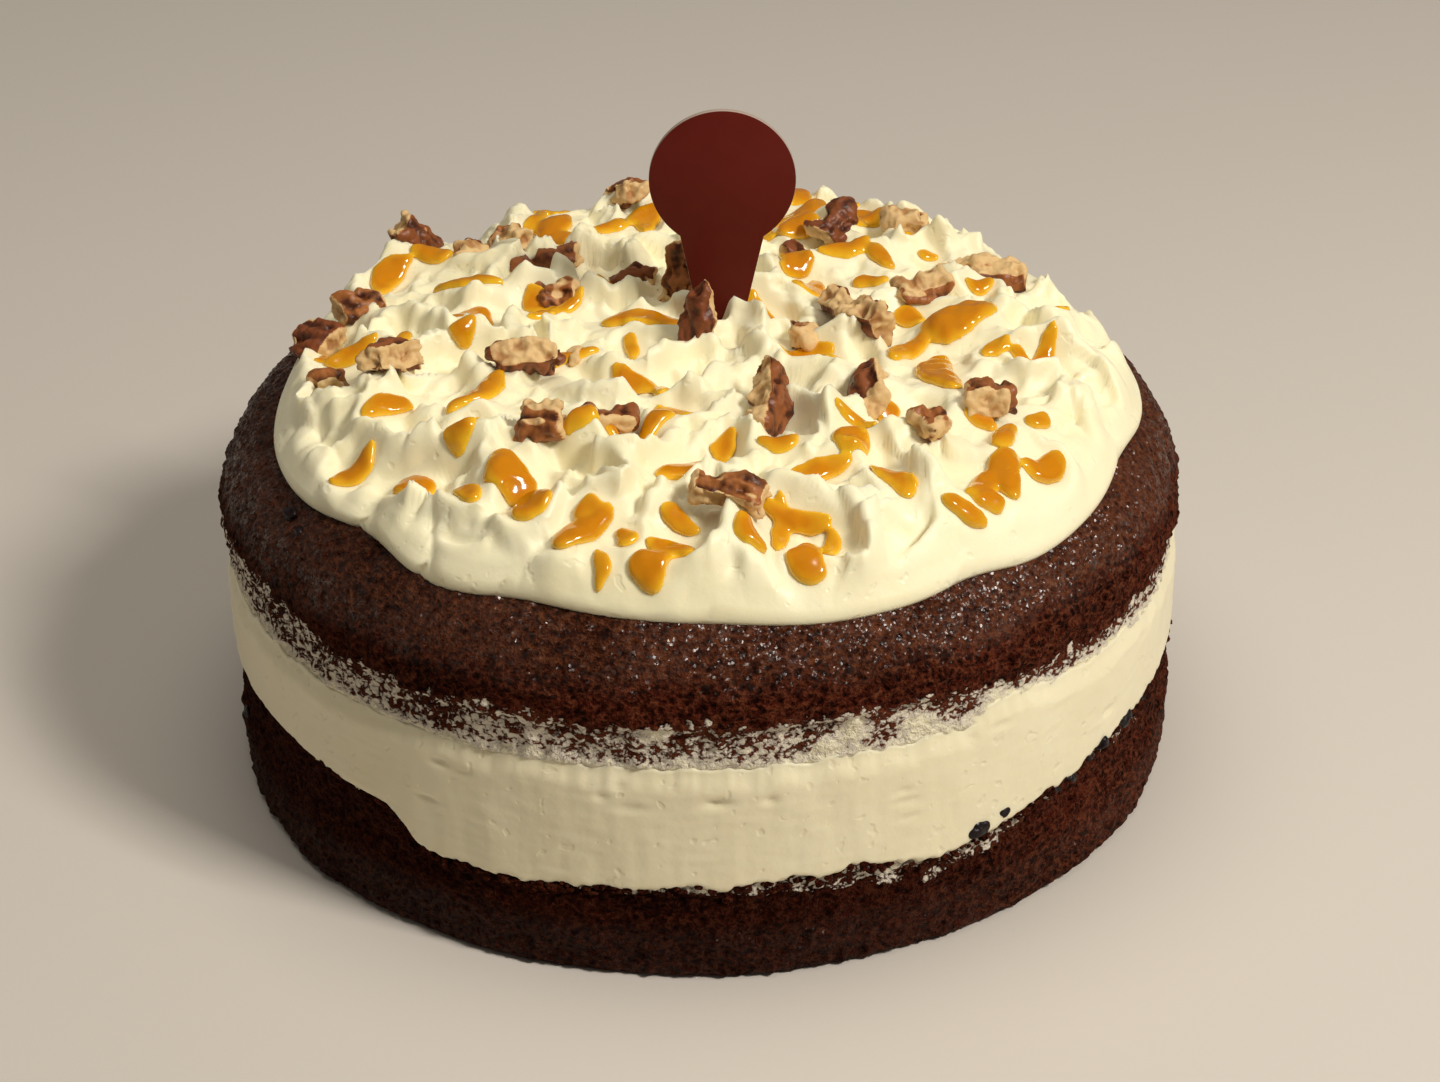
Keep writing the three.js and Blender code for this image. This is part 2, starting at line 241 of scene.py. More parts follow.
def mixColours(tree, share, first, second):
    made = addNode(tree, "Mix", data_type="RGBA")
    plug(tree, made.inputs["Factor"], share)
    for place, value in ((6, first), (7, second)):
        plug(tree, made.inputs[place], value)
    return made.outputs[2]


def stretch(tree, value, low, high, newLow=0.0, newHigh=1.0):
    inputs = {"Value": value, "From Min": low, "From Max": high, "To Min": newLow, "To Max": newHigh}
    return addNode(tree, "MapRange", inputs).outputs[0]


def noiseNode(tree, coords, scale, detail=2.0, roughness=0.5):
    inputs = {"Vector": coords, "Scale": scale, "Detail": detail, "Roughness": roughness}
    return addNode(tree, "TexNoise", inputs).outputs["Fac"]


def readAttribute(tree, label):
    return addNode(tree, "Attribute", attribute_name=label).outputs["Fac"]


def newMaterial(name):
    material = bpy.data.materials.new(name)
    material.use_nodes = True
    tree = material.node_tree
    shader = tree.nodes["Principled BSDF"]
    coords = addNode(tree, "TexCoord").outputs["Object"]
    return material, tree, shader, coords


def addBump(tree, shader, height, strength, distance):
    bump = addNode(tree, "Bump", {"Height": height, "Strength": strength, "Distance": distance * mm})
    plug(tree, shader.inputs["Normal"], bump.outputs["Normal"])


# Open crumb with cream pressed into it: crumb height, and the share that cream of a level covers
def crumbGroup():
    group = bpy.data.node_groups.new("openCrumb", "ShaderNodeTree")
    face = group.interface
    face.new_socket("Vector", in_out="INPUT", socket_type="NodeSocketVector")
    face.new_socket("Scale", in_out="INPUT", socket_type="NodeSocketFloat")
    face.new_socket("Level", in_out="INPUT", socket_type="NodeSocketFloat")
    for label in ("Height", "Cover", "Relief"):
        face.new_socket(label, in_out="OUTPUT", socket_type="NodeSocketFloat")
    source = group.nodes.new("NodeGroupInput").outputs
    result = group.nodes.new("NodeGroupOutput").inputs
    coarse = noiseNode(group, source["Vector"], source["Scale"], 2.5, 0.55)
    blotch = noiseNode(group, source["Vector"], math2(group, "MULTIPLY", source["Scale"], 1.5), 3.0, 0.6)
    fine = noiseNode(group, source["Vector"], math2(group, "MULTIPLY", source["Scale"], 3.3), 2.0, 0.6)
    away = math2(group, "ABSOLUTE", math2(group, "SUBTRACT", coarse, 0.5))
    ridge = stretch(group, away, 0.0, 0.2, 1.0, 0.0)
    lump = stretch(group, blotch, 0.28, 0.72)
    height = weigh(group, (ridge, 0.4), (lump, 0.42), (fine, 0.18))
    over = math2(group, "SUBTRACT", source["Level"], height)
    plug(group, result["Height"], height)
    plug(group, result["Cover"], stretch(group, over, -0.06, 0.09))
    plug(group, result["Relief"], math2(group, "MAXIMUM", height, source["Level"]))
    return group


openCrumb = crumbGroup()


# Sponge: dark open crumb on the side, shiny baked crust over the shoulder
spongeLook = {
    "deep": (0.0060, 0.0010, 0.0007, 1),
    "warm": (0.1040, 0.0180, 0.0082, 1),
    "tipsAndHighlight": (0.2000, 0.0720, 0.0300, 1),
    "crust": (0.0170, 0.0034, 0.0017, 1),
    "crustLight": (0.1180, 0.0300, 0.0105, 1),
    "smear": (0.66, 0.59, 0.49, 1),
    "cream": (0.86, 0.79, 0.57, 1),
    "crumbScale": 430,  # per metre
    "crumbPress": (1, 1, 1.35),  # the crumb is a little flat
    "sugarScale": 900,
    "grainScale": 1900,
    "grainSlant": 0.8,
    "shine": {
        "Specular IOR Level": 0.01,
        "Sheen Weight": 0.04,
        "Sheen Roughness": 0.45,
        "Sheen Tint": (1.0, 0.58, 0.4, 1),
        "Coat Roughness": 0.28,
    },
}


def spongeMaterial():
    look = spongeLook
    material, tree, shader, coords = newMaterial("dateSponge")
    creamLevel = readAttribute(tree, "creamLevel")
    flat = vector2(tree, "MULTIPLY", coords, look["crumbPress"])
    inputs = {"Vector": flat, "Scale": look["crumbScale"], "Level": creamLevel}
    crumb = addNode(tree, "Group", inputs, node_tree=openCrumb)
    height = crumb.outputs["Height"]
    crust = readAttribute(tree, "crust")
    patch = noiseNode(tree, coords, 60, 3, 0.6)
    grain = noiseNode(tree, coords, 950, 3, 0.65)
    # the tone follows the crumb height as well as noise, so the crumb hollows carry painted shade
    tone = weigh(tree, (patch, 0.24), (grain, 0.38), (height, 0.38))
    side = mixColours(tree, stretch(tree, tone, 0.42, 0.66), look["deep"], look["warm"])
    top = mixColours(tree, stretch(tree, tone, 0.38, 0.64), look["crust"], look["crustLight"])
    bare = mixColours(tree, crust, side, top)
    # the highest crumb tops turn lighter: partly their own colour, partly painted highlight
    bare = mixColours(tree, stretch(tree, height, 0.58, 0.95, 0, 0.6), bare, look["tipsAndHighlight"])
    # soaked crumb and painted shade both pull the colour towards the deep tone
    darker = mixColours(tree, readAttribute(tree, "soakAndShade"), bare, look["deep"])
    thickness = math2(tree, "SUBTRACT", creamLevel, height)
    cream = mixColours(tree, stretch(tree, thickness, 0.12, 0.5), look["smear"], look["cream"])
    plug(tree, shader.inputs["Base Color"], mixColours(tree, crumb.outputs["Cover"], darker, cream))
    plug(tree, shader.inputs["Roughness"], stretch(tree, grain, 0.3, 0.7, 0.7, 0.95))
    addBump(tree, shader, weigh(tree, (crumb.outputs["Relief"], 1), (grain, 1.1)), 1.0, 1.0)
    setInputs(shader, look["shine"])
    # melted sugar on the crust, in small shiny spots
    sugar = stretch(tree, noiseNode(tree, coords, look["sugarScale"], 3, 0.7), 0.38, 0.5)
    sugar = math2(tree, "MULTIPLY", crust, sugar)
    spots = math2(tree, "MULTIPLY", sugar, stretch(tree, patch, 0.2, 0.5))
    plug(tree, shader.inputs["Coat Weight"], spots)
    # each grain of sugar lies at its own slant
    cell = addNode(tree, "TexVoronoi", {"Vector": coords, "Scale": look["grainScale"]})
    away = vector2(tree, "SUBTRACT", coords, cell.outputs["Position"])
    slant = vector2(tree, "SUBTRACT", cell.outputs["Color"], (0.5, 0.5, 0.5))
    facet = vector2(tree, "DOT_PRODUCT", away, slant, "Value")
    inputs = {"Height": facet, "Strength": 1.0, "Distance": look["grainSlant"]}
    plug(tree, shader.inputs["Coat Normal"], addNode(tree, "Bump", inputs).outputs["Normal"])
    return material


spongeFinish = spongeMaterial()

# Radii and heights of the whole cake
cakeShape = {
    "spongeRadius": 98.5,
    "baseRadius": 99.7,
    "baseCorner": 2,
    "bottomTop": 30,
    "topStart": 46,
    "crownRadius": 99.5,
    "crownBase": 56,
    "crownRise": 24,
    "crownPower": 9,
    "gap": 0.3,
    "steps": 1000,
    "rowStep": 0.66,
}


def crown(radius):
    s = cakeShape
    fall = (radius / s["crownRadius"]) ** s["crownPower"]
    return s["crownBase"] + s["crownRise"] * np.sqrt(np.maximum(0, 1 - fall))


# How far the wiped cream reaches below and above the filling at an angle in degrees
def skirtBelow(degrees):
    front = ramp(-128.5, -122, degrees) * (1 - ramp(-66, -36, degrees))
    left = ramp(-150, -128, degrees) * (1 - ramp(140, 175, degrees))
    return 1.2 + 1.4 * left + 7.5 * front + 4 * hump(degrees - 95, 30)


def skirtAbove(degrees):
    back = ramp(-50, -30, degrees) * (1 - ramp(140, 175, degrees))
    return 1 + 3.4 * hump(degrees + 53, 8) + 1.4 * back + 2.5 * hump(degrees - 80, 40)


def unevenSide(points):
    angle = np.arctan2(points[:, 1], points[:, 0])
    radius = reachOf(points)
    share = ramp(0.8 * cakeShape["spongeRadius"], cakeShape["spongeRadius"], radius)
    wave = np.sin(3 * angle + 1) + np.sin(7 * angle + points[:, 2] * 0.06) + np.sin(13 * angle + 2)
    factor = 1 + share * 0.5 * (wave - 1) / (3 * radius + 1)
    points[:, :2] *= factor[:, None]


def evenRows(path, step):
    path = np.array(path, float)
    run = np.concatenate([[0], np.cumsum(np.hypot(*np.diff(path, axis=0).T))])
    count = max(2, int(round(run[-1] / step)) + 1)
    spots = np.linspace(0, run[-1], count)
    return list(zip(np.interp(spots, run, path[:, 0]), np.interp(spots, run, path[:, 1])))


# Crumb lumps pushed out along the normals, in several sizes
def roughen(piece, layers, share=1.0):
    points, normals = readPoints(piece), readNormals(piece)
    push = np.zeros(len(points))
    for size, height, shift in layers:
        push += height * noiseAt(points, size, shift)
    writePoints(piece, points + normals * (push * share)[:, None])


# Height that the thin smear of cream reaches on the top sponge
def smearTop(degrees):
    angles = [-180, -150, -132, -119, -109, -101, -91, -84, -76, -64, -54, -40, -27, 0, 40, 90, 140, 180]
    tops = [60, 62, 57, 58, 60, 56.5, 58, 57, 57.5, 57.8, 54, 52.8, 54, 56, 58.5, 56, 59, 60]
    return np.interp(degrees, angles, tops)


topSpongeSet = {
    "lumps": [(9, 0.5, 3.1), (3.2, 0.5, 8.7), (1.5, 0.8, 15.3)],
    "grit": [(0.7, 0.3, 51.3)],
    "crustFrom": 61,
    "crustFull": 69,
    # thick dabs in the smear: angle, height, half width, half height
    "dabs": [
        (-73.6, 53.4, 2.2, 3.2), (-76.4, 49.9, 2.6, 1.8), (-65.8, 50.6, 3.0, 2.2),
        (-94.9, 54.9, 2.6, 1.6), (-56, 51.5, 2.4, 1.6),
    ],
    "dabRadius": 99,
}


def makeTopSponge():
    s, look = cakeShape, topSpongeSet
    low, radius = s["topStart"] + s["gap"], s["spongeRadius"]
    shoulder = []
    for t in np.linspace(np.pi / 2, 0.44, 200):
        out = s["crownRadius"] * np.sin(t) ** (2 / s["crownPower"])
        shoulder.append((out, s["crownBase"] + s["crownRise"] * np.cos(t)))
    side = [(radius - 0.6, low), (radius, low + 0.6), (radius, s["topStart"] + 9)] + shoulder
    profile = [(0, low), (50, low), (90, low)] + evenRows(side, s["rowStep"])
    lastRadius = profile[-1][0]
    profile += [(lastRadius * k, float(crown(lastRadius * k))) for k in (0.85, 0.65, 0.4, 0.2)]
    profile.append((0, s["crownBase"] + s["crownRise"]))
    piece = turnProfile("topSponge", profile, s["steps"])
    points = readPoints(piece)
    unevenSide(points)
    degrees = anglesOf(points)
    swell = 1 + 0.004 * hump(points[:, 2] - 63, 5) * (1 + np.cos(np.radians(degrees) - 2.9))
    points[:, :2] *= swell[:, None]
    writePoints(piece, points)
    height = points[:, 2]
    outside = ramp(70, 80, reachOf(points)) * ramp(46.3, 47.5, height)
    crust = ramp(look["crustFrom"], look["crustFull"], height + 2.0 * noiseAt(points, 8, 4.4))
    roughen(piece, look["lumps"], outside * (1 - 0.35 * crust))
    roughen(piece, look["grit"], outside * crust)
    # cream pressed into the crumb just above the filling, with a ragged upper edge
    edge = s["topStart"] + skirtAbove(degrees)
    top = smearTop(degrees) + 1.4 * noiseAt(points, 7, 21.2) + 2.4 * noiseAt(points * (1, 1, 0.3), 1.6, 5.5)
    share = (height - edge) / np.maximum(top - edge, 0.5)
    level = 0.58 + 0.35 * (1 - ramp(-0.05, 0.25, share)) - 0.06 * ramp(0.3, 0.9, share)
    level += 0.16 * noiseAt(points, 6, 9.1)
    for angle, middle, halfWide, halfHigh in look["dabs"]:
        along = np.radians(degrees - angle) * look["dabRadius"]
        level += 0.55 * np.exp(-((along / halfWide) ** 2) - ((height - middle) / halfHigh) ** 2)
    bare = ramp(0.85, 1.1, share)
    setAttribute(piece, "creamLevel", np.clip(level * (1 - bare) - 0.2 * bare, -0.2, 1.3))
    setAttribute(piece, "crust", crust)
    # painted shade: darker at the left, the side away from the light
    soakAndShade = 1 - ramp(-145, -80, degrees) * (1 - ramp(110, 175, degrees))
    setAttribute(piece, "soakAndShade", 0.45 * soakAndShade)
    finishPiece(piece, spongeFinish, ["sponge_top"])
    return piece


topSponge = makeTopSponge()
print("top sponge", len(topSponge.data.polygons))

bottomSpongeSet = {
    "lumps": [(9, 0.5, 13.1), (3.2, 0.55, 28.7), (1.5, 0.8, 35.3)],
}


def makeBottomSponge():
    s = cakeShape
    base, corner, high = s["baseRadius"], s["baseCorner"], s["bottomTop"] - s["gap"]
    radius = s["spongeRadius"]
    turns = np.linspace(0, np.pi / 2, 8)
    side = [(base - corner * (1 - math.sin(t)), corner * (1 - math.cos(t))) for t in turns]
    side += [(base, 13), (radius, 18), (radius, high - 0.6), (radius - 0.6, high)]
    profile = [(0, 0), (60, 0), (92, 0)] + evenRows(side, s["rowStep"])
    profile += [(90, high), (50, high), (0, high)]
    piece = turnProfile("bottomSponge", profile, s["steps"])
    points = readPoints(piece)
    lifted = points[:, 2] > 0.01
    shaped = points.copy()
    unevenSide(shaped)
    points[lifted] = shaped[lifted]
    writePoints(piece, points)
    height = points[:, 2]
    outside = ramp(70, 80, reachOf(points)) * ramp(0.0, 1.5, height) * (1 - ramp(28.5, 29.7, height))
    roughen(piece, bottomSpongeSet["lumps"], outside)
    degrees = anglesOf(points)
    edge = s["bottomTop"] - skirtBelow(degrees)
    reach = 1.0 + 4.5 * hump(degrees + 62, 16) + 5 * hump(degrees + 28, 16) + 2 * hump(degrees - 80, 50)
    below = (edge - height) / np.maximum(reach + 1.6 * noiseAt(points, 5, 3.3), 0.4)
    level = 0.58 - 0.16 * np.clip(below, 0, 1) + 0.3 * noiseAt(points, 5, 41.1)
    bare = ramp(0.8, 1.1, below)
    setAttribute(piece, "creamLevel", np.clip(level * (1 - bare) - 0.2 * bare, -0.2, 1.2))
    setAttribute(piece, "crust", 0.2 * (1 - ramp(8, 14, height)))
    # the lower sponge is darker for its soaked crumb, but less so at the right, as painted light where the
    # light falls
    setAttribute(piece, "soakAndShade", 0.65 - 0.6 * ramp(-75, -35, degrees) * (1 - ramp(20, 60, degrees)))
    finishPiece(piece, spongeFinish, ["sponge_bottom"])
    return piece


bottomSponge = makeBottomSponge()
print("bottom sponge", len(bottomSponge.data.polygons))


# Cream, for the filling and the topping
creamLook = {
    "filling": (0.86, 0.79, 0.565, 1),
    "fillingThin": (0.82, 0.74, 0.515, 1),
    "topping": (0.95, 0.87, 0.625, 1),
    "toppingDeep": (0.935, 0.845, 0.57, 1),
    "shine": {
        "Subsurface Weight": 0.6,
        "Subsurface Radius": (1.0, 0.9, 0.72),
        "Subsurface Scale": 0.0012,
        "Specular IOR Level": 0.4,
    },
}


def creamMaterial(name, first, second, bumpHeight, roughness):
    material, tree, shader, coords = newMaterial(name)
    cloud = noiseNode(tree, coords, 45, 3, 0.6)
    colour = mixColours(tree, stretch(tree, cloud, 0.35, 0.7), first, second)
    plug(tree, shader.inputs["Base Color"], colour)
    smooth = noiseNode(tree, coords, 160, 3, 0.6)
    rough = stretch(tree, smooth, 0.3, 0.7, roughness - 0.08, roughness + 0.1)
    plug(tree, shader.inputs["Roughness"], rough)
    setInputs(shader, creamLook["shine"])
    fine = noiseNode(tree, coords, 700, 3, 0.6)
    broad = noiseNode(tree, coords, 200, 2, 0.5)
    pits = stretch(tree, noiseNode(tree, coords, 330, 1, 0.5), 0.66, 0.74)
    height = math2(tree, "SUBTRACT", weigh(tree, (fine, 0.35), (broad, 1)), pits)
    addBump(tree, shader, height, 0.35, bumpHeight)
    return material


fillingCream = creamMaterial("fillingCream", creamLook["filling"], creamLook["fillingThin"], 0.5, 0.5)

fillingSet = {
    "outer": 100,
    "inner": 97.3,
    "rows": 44,
    "wallLow": 20,  # the wall before its edges are drawn
    "wallHigh": 56,
    # where the lower edge rises and sinks at the front
    "edgeAngles": [-128, -118, -110, -100, -88, -74, -63, -52, -42, -31],
    "edgeLifts": [0, -0.8, -1.2, 0, 0.9, 1.8, -0.4, -1, -1.8, 0],
    # scrape pits: angle, height, half width, half height, depth
    "pits": [
        (-119.8, 41.7, 2.0, 0.9, 0.9), (-88.2, 40, 2.4, 0.8, 0.9), (-82.8, 40.3, 1.3, 0.8, 0.8),
        (-55.7, 45.4, 3.6, 0.8, 0.6), (-67.7, 37.7, 1.8, 0.5, 0.5), (-67, 31.4, 2.4, 0.5, 0.4),
    ],
    "pitCount": 26,  # more of them, anywhere
}


# Lower and upper edge of the filling's skin, ragged where it was wiped
def fillingEdges(degrees):
    turn, radius = np.radians(degrees), fillingSet["outer"]
    around = np.stack([radius * np.cos(turn), radius * np.sin(turn), 0 * turn], 1)
    front = ramp(-128, -120, degrees) * (1 - ramp(140, 170, degrees))
    lift = np.interp(degrees, fillingSet["edgeAngles"], fillingSet["edgeLifts"])
    ragged = 1.1 * noiseAt(around, 4.5, 3.7) + 0.9 * noiseAt(around, 1.7, 9.3)
    lowEdge = cakeShape["bottomTop"] - skirtBelow(degrees) + lift + (0.15 + 0.85 * front) * ragged
    highEdge = cakeShape["topStart"] + skirtAbove(degrees) + 1.2 * noiseAt(around, 5, 13.7)
    highEdge += 0.6 * noiseAt(around, 1.6, 19.3)
    return lowEdge, highEdge, front


def makeFilling():
    s, f = cakeShape, fillingSet
    low, high, inner, outer = s["bottomTop"], s["topStart"], f["inner"], f["outer"]
    start, stop = f["wallLow"], f["wallHigh"]
    profile = [(0, low), (60, low), (96, low), (inner, low)]
    profile += [(inner, 25), (inner, start), (outer - 0.5, start)]
    profile += [(outer, z) for z in np.linspace(start, stop, f["rows"])]
    profile += [(outer - 0.5, stop), (inner, stop), (inner, 50), (inner, high)]
    profile += [(96, high), (60, high), (0, high)]
    piece = turnProfile("creamFilling", profile, s["steps"])
    points = readPoints(piece)
    degrees = anglesOf(points)
    radius = reachOf(points)
    lowEdge, highEdge, front = fillingEdges(degrees)
    skin = radius > inner - 0.01
    share = (points[:, 2] - start) / (stop - start)
    moved = skin & ((points[:, 2] < low - 0.5) | (points[:, 2] > high + 0.5) | (radius > outer - 0.6))
    points[moved, 2] = (lowEdge + share * (highEdge - lowEdge))[moved]
    # the skin thins out towards its edges
    above, below = highEdge - points[:, 2], points[:, 2] - lowEdge
    thin = 1.4 * (1 - ramp(0, 4.5, above)) + (0.35 + 0.8 * front) * (1 - ramp(0, 1.1, below))
    push = 0.22 * noiseAt(points * (1, 1, 0.35), 6, 2.2) + 0.10 * noiseAt(points * (1, 1, 0.2), 2.2, 7.7)
    push += 0.10 * noiseAt(points * (0.25, 0.25, 1), 1.4, 17.7)
    draw = seededDraw(31)
    pits = list(f["pits"])
    for _ in range(f["pitCount"]):
        pits.append((draw(-180, 180), draw(31, 47), draw(1.0, 3.4), draw(0.5, 1.0), draw(0.3, 0.7)))
    for angle, height, halfWide, halfHigh, depth in pits:
        along = np.radians((degrees - angle + 180) % 360 - 180) * outer
        push -= depth * np.exp(-((along / halfWide) ** 2) - ((points[:, 2] - height) / halfHigh) ** 2)
    wallOnly = radius > outer - 0.6
    factor = 1 + np.where(wallOnly, (push - thin - 0.25) / outer, 0)
    points[:, :2] *= factor[:, None]
    writePoints(piece, points)
    finishPiece(piece, fillingCream, ["cream_filling"])
    return piece


creamFilling = makeFilling()
print("filling", len(creamFilling.data.polygons))


# Lumpy bits stuck to the side: angle, radius, height, then half depth, half width and half height
def makeLumps(name, lumps, detail):
    bpy.ops.object.select_all(action="DESELECT")
    bpy.ops.mesh.primitive_ico_sphere_add(subdivisions=detail, radius=mm)
    piece = startPiece(name)
    ball = readPoints(piece)
    corners = np.empty(len(piece.data.loops), int)
    piece.data.loops.foreach_get("vertex_index", corners)
    points, faces = [], []
    for i, (angle, radius, height, deep, wide, tall) in enumerate(lumps):
        c, s = math.cos(math.radians(angle)), math.sin(math.radians(angle))
        bumpy = ball * (1 + 0.5 * noiseAt(ball, 0.9, i * 1.9))[:, None] * (deep, wide, tall)
        spin = np.array([(c, s, 0), (-s, c, 0), (0, 0, 1)])
        points.append(bumpy @ spin + (radius * c, radius * s, height))
        faces.append(corners.reshape(-1, 3) + i * len(ball))
    piece.data.clear_geometry()
    piece.data.from_pydata((np.concatenate(points) * mm).tolist(), [], np.concatenate(faces).tolist())
    piece.data.update()
    closeMesh(piece, 0.0001)
    return piece


dateSet = {
    "colour": (0.0035, 0.0018, 0.0026, 1),
    "sheen": (0.012, 0.0045, 0.0045, 1),
    "bits": [
        (-58.2, 99.2, 23.4, 1.3, 2.3, 1.8), (-54.4, 99.1, 24.6, 1.0, 1.5, 1.1),
        (-150.2, 91.6, 73.0, 1.6, 2.4, 1.5), (-146.5, 92.5, 72.0, 1.0, 1.3, 0.9),
        (35, 98.6, 60, 1.1, 2.0, 1.4), (110, 99.0, 22, 1.2, 2.1, 1.6), (158, 92.2, 72.6, 1.4, 2.2, 1.3),
        (72, 98.9, 12, 1.0, 1.8, 1.3), (-166, 98.8, 14, 1.0, 1.7, 1.4),
    ],
    # angle and size of bits along the filling's lower edge
    "edgeBits": [(-46, 0.8), (-43.5, 1.1), (-40, 0.9), (-37.5, 1.4), (-32, 1.7), (-27, 1.0), (140, 1.2)],
}


def makeDateBits():
    material, tree, shader, coords = newMaterial("stickyDate")
    wrinkle = noiseNode(tree, coords, 700, 2, 0.5)
    colour = mixColours(tree, stretch(tree, wrinkle, 0.35, 0.7), dateSet["colour"], dateSet["sheen"])
    plug(tree, shader.inputs["Base Color"], colour)
    plug(tree, shader.inputs["Roughness"], stretch(tree, wrinkle, 0.3, 0.7, 0.28, 0.5))
    shader.inputs["Specular IOR Level"].default_value = 0.25
    addBump(tree, shader, wrinkle, 0.6, 0.6)
    lows = fillingEdges(np.array([angle for angle, _ in dateSet["edgeBits"]]))[0]
    bits = list(dateSet["bits"])
    for (angle, size), low in zip(dateSet["edgeBits"], lows):
        bits.append((angle, 99.0, low, size, 1.4 * size, 1.1 * size))
    piece = makeLumps("dateBits", bits, 4)
    finishPiece(piece, material, [])
    return piece


dateBits = makeDateBits()

crumbSet = {"count": 300, "frontShare": 0.7, "radius": 99.15}


# Loose crumbs where the cream was wiped across the edge of the lower sponge
def makeCrumbs():
    draw = seededDraw(57)
    angles = []
    for _ in range(crumbSet["count"]):
        inFront = draw(0, 1) < crumbSet["frontShare"]
        angle = draw(-130, -8) if inFront else draw(-8, 230)
        angles.append((angle + 180) % 360 - 180)
    lows = fillingEdges(np.array(angles))[0]
    lumps = []
    for angle, low in zip(angles, lows):
        size = draw(0.35, 0.75)
        size *= 1.5 if draw(0, 1) > 0.86 else 1
        size *= 1.25 if -52 < angle < -12 else 1
        height = low + draw(-1.3, 0.7)
        wide, tall = size * draw(0.9, 1.7), size * draw(0.7, 1.1)
        lumps.append((angle, crumbSet["radius"], height, size * 0.9, wide, tall))
    piece = makeLumps("spongeCrumbs", lumps, 2)
    setAttribute(piece, "soakAndShade", np.full(len(piece.data.vertices), 0.35))
    finishPiece(piece, spongeFinish, [])
    return piece


spongeCrumbs = makeCrumbs()
print("date bits and crumbs", len(dateBits.data.polygons), len(spongeCrumbs.data.polygons))


# Cream topping, spread with a spoon: the same strokes as the solid, on a finer grid
toppingSet = {
    "radius": 88.9,
    "shift": 3,
    "shiftAngle": -58,
    "thick": 9.3,
    "least": 2.4,
    "strokes": 112,
    "smallStrokes": 430,
    "reach": 90,
    "cells": 288,
    "creases": [  # angle, depth, slant
        (-136, 4.2, -0.5), (-123, 2.6, -0.9), (-112, 1.5, 0.4), (-75, 0.9, 0.5), (-20, 1.2, -0.6),
        (18, 2.2, 0.6), (55, 1.8, 0.5), (92, 2.2, -0.6), (128, 1.8, 0.6), (172, 2.4, 0.5),
        (-160, 2, -0.5),
    ],
    "folds": [  # angle, depth, half width in degrees
        (-136, 3.4, 9), (-112, 1.2, 7), (-86, 0.7, 8), (-56, 1.4, 6), (-20, 1.5, 8), (18, 2, 8),
        (55, 1.6, 9), (92, 2.2, 8), (128, 1.6, 9), (172, 2.2, 20), (30, 3.5, 32),
    ],
    "tucks": [  # angle and depth of the small folds down the lip
        (-137, 1.8), (-124, 1.5), (-113, 1.0), (-88, 0.6), (-57, 0.5), (-21, 0.7), (17, 1.0), (54, 0.9),
        (91, 1.1), (127, 0.9), (170, 1.1),
    ],
    "tuckSlant": 0.05,
    "lipFrom": 0.955,  # share of the grid where the lip rolls over
    "rimShare": 0.995,
    "calm": (56, -50, 30),  # x, y and size of the smoother place at the right
}

goldenTurn = 2.399963  # from each stroke to the next, so that they spread evenly


def rimRadius(angle):
    t = toppingSet
    radius = t["radius"] + t["shift"] * np.cos(angle - math.radians(t["shiftAngle"]))
    radius = radius + 0.6 * np.sin(5 * angle + 1) + 0.4 * np.sin(9 * angle + 2)
    for degrees, depth, width in t["folds"]:
        radius = radius - depth * hump(wrapTurn(angle - math.radians(degrees)), math.radians(width))
    return radius


# Folds where one lobe of the lip tucks in beside the next
def lipTucks(angle):
    depth = np.zeros_like(angle)
    for degrees, deep in toppingSet["tucks"]:
        aside = wrapTurn(angle - math.radians(degrees)) * toppingSet["radius"]
        depth += deep * np.exp(np.where(aside > 0, -aside / 3.5, aside / 0.9))
    return depth


def makeStrokes():
    t = toppingSet
    draw = seededDraw(11)
    made = []
    for i in range(t["strokes"]):
        reach = t["reach"] * math.sqrt((i + 0.5) / t["strokes"])
        angle = i * goldenTurn + draw(-0.3, 0.3)
        x, y = reach * math.cos(angle) + 2.6, reach * math.sin(angle) - 2.2
        heading = angle + math.pi / 2 + draw(-1.3, 1.3)
        bend, length, half, depth = draw(9, 20), draw(17, 27), draw(4.6, 7), draw(3, 4.6)
        sense = 1 if draw(0, 1) > 0.35 else -1
        level, peak = draw(-0.8, 0.8), draw(2.5, 6.5)
        centreX, centreY = x - sense * bend * math.sin(heading), y + sense * bend * math.cos(heading)
        middle = math.atan2(y - centreY, x - centreX)
        end = middle + sense * length * 0.5 / bend
        tip = (centreX + bend * math.cos(end), centreY + bend * math.sin(end), end + sense * math.pi / 2)
        made.append((centreX, centreY, middle, bend, length, half, depth, sense, level, peak, tip))
    return [made[(i * 41) % t["strokes"]] for i in range(t["strokes"])]


strokes = makeStrokes()


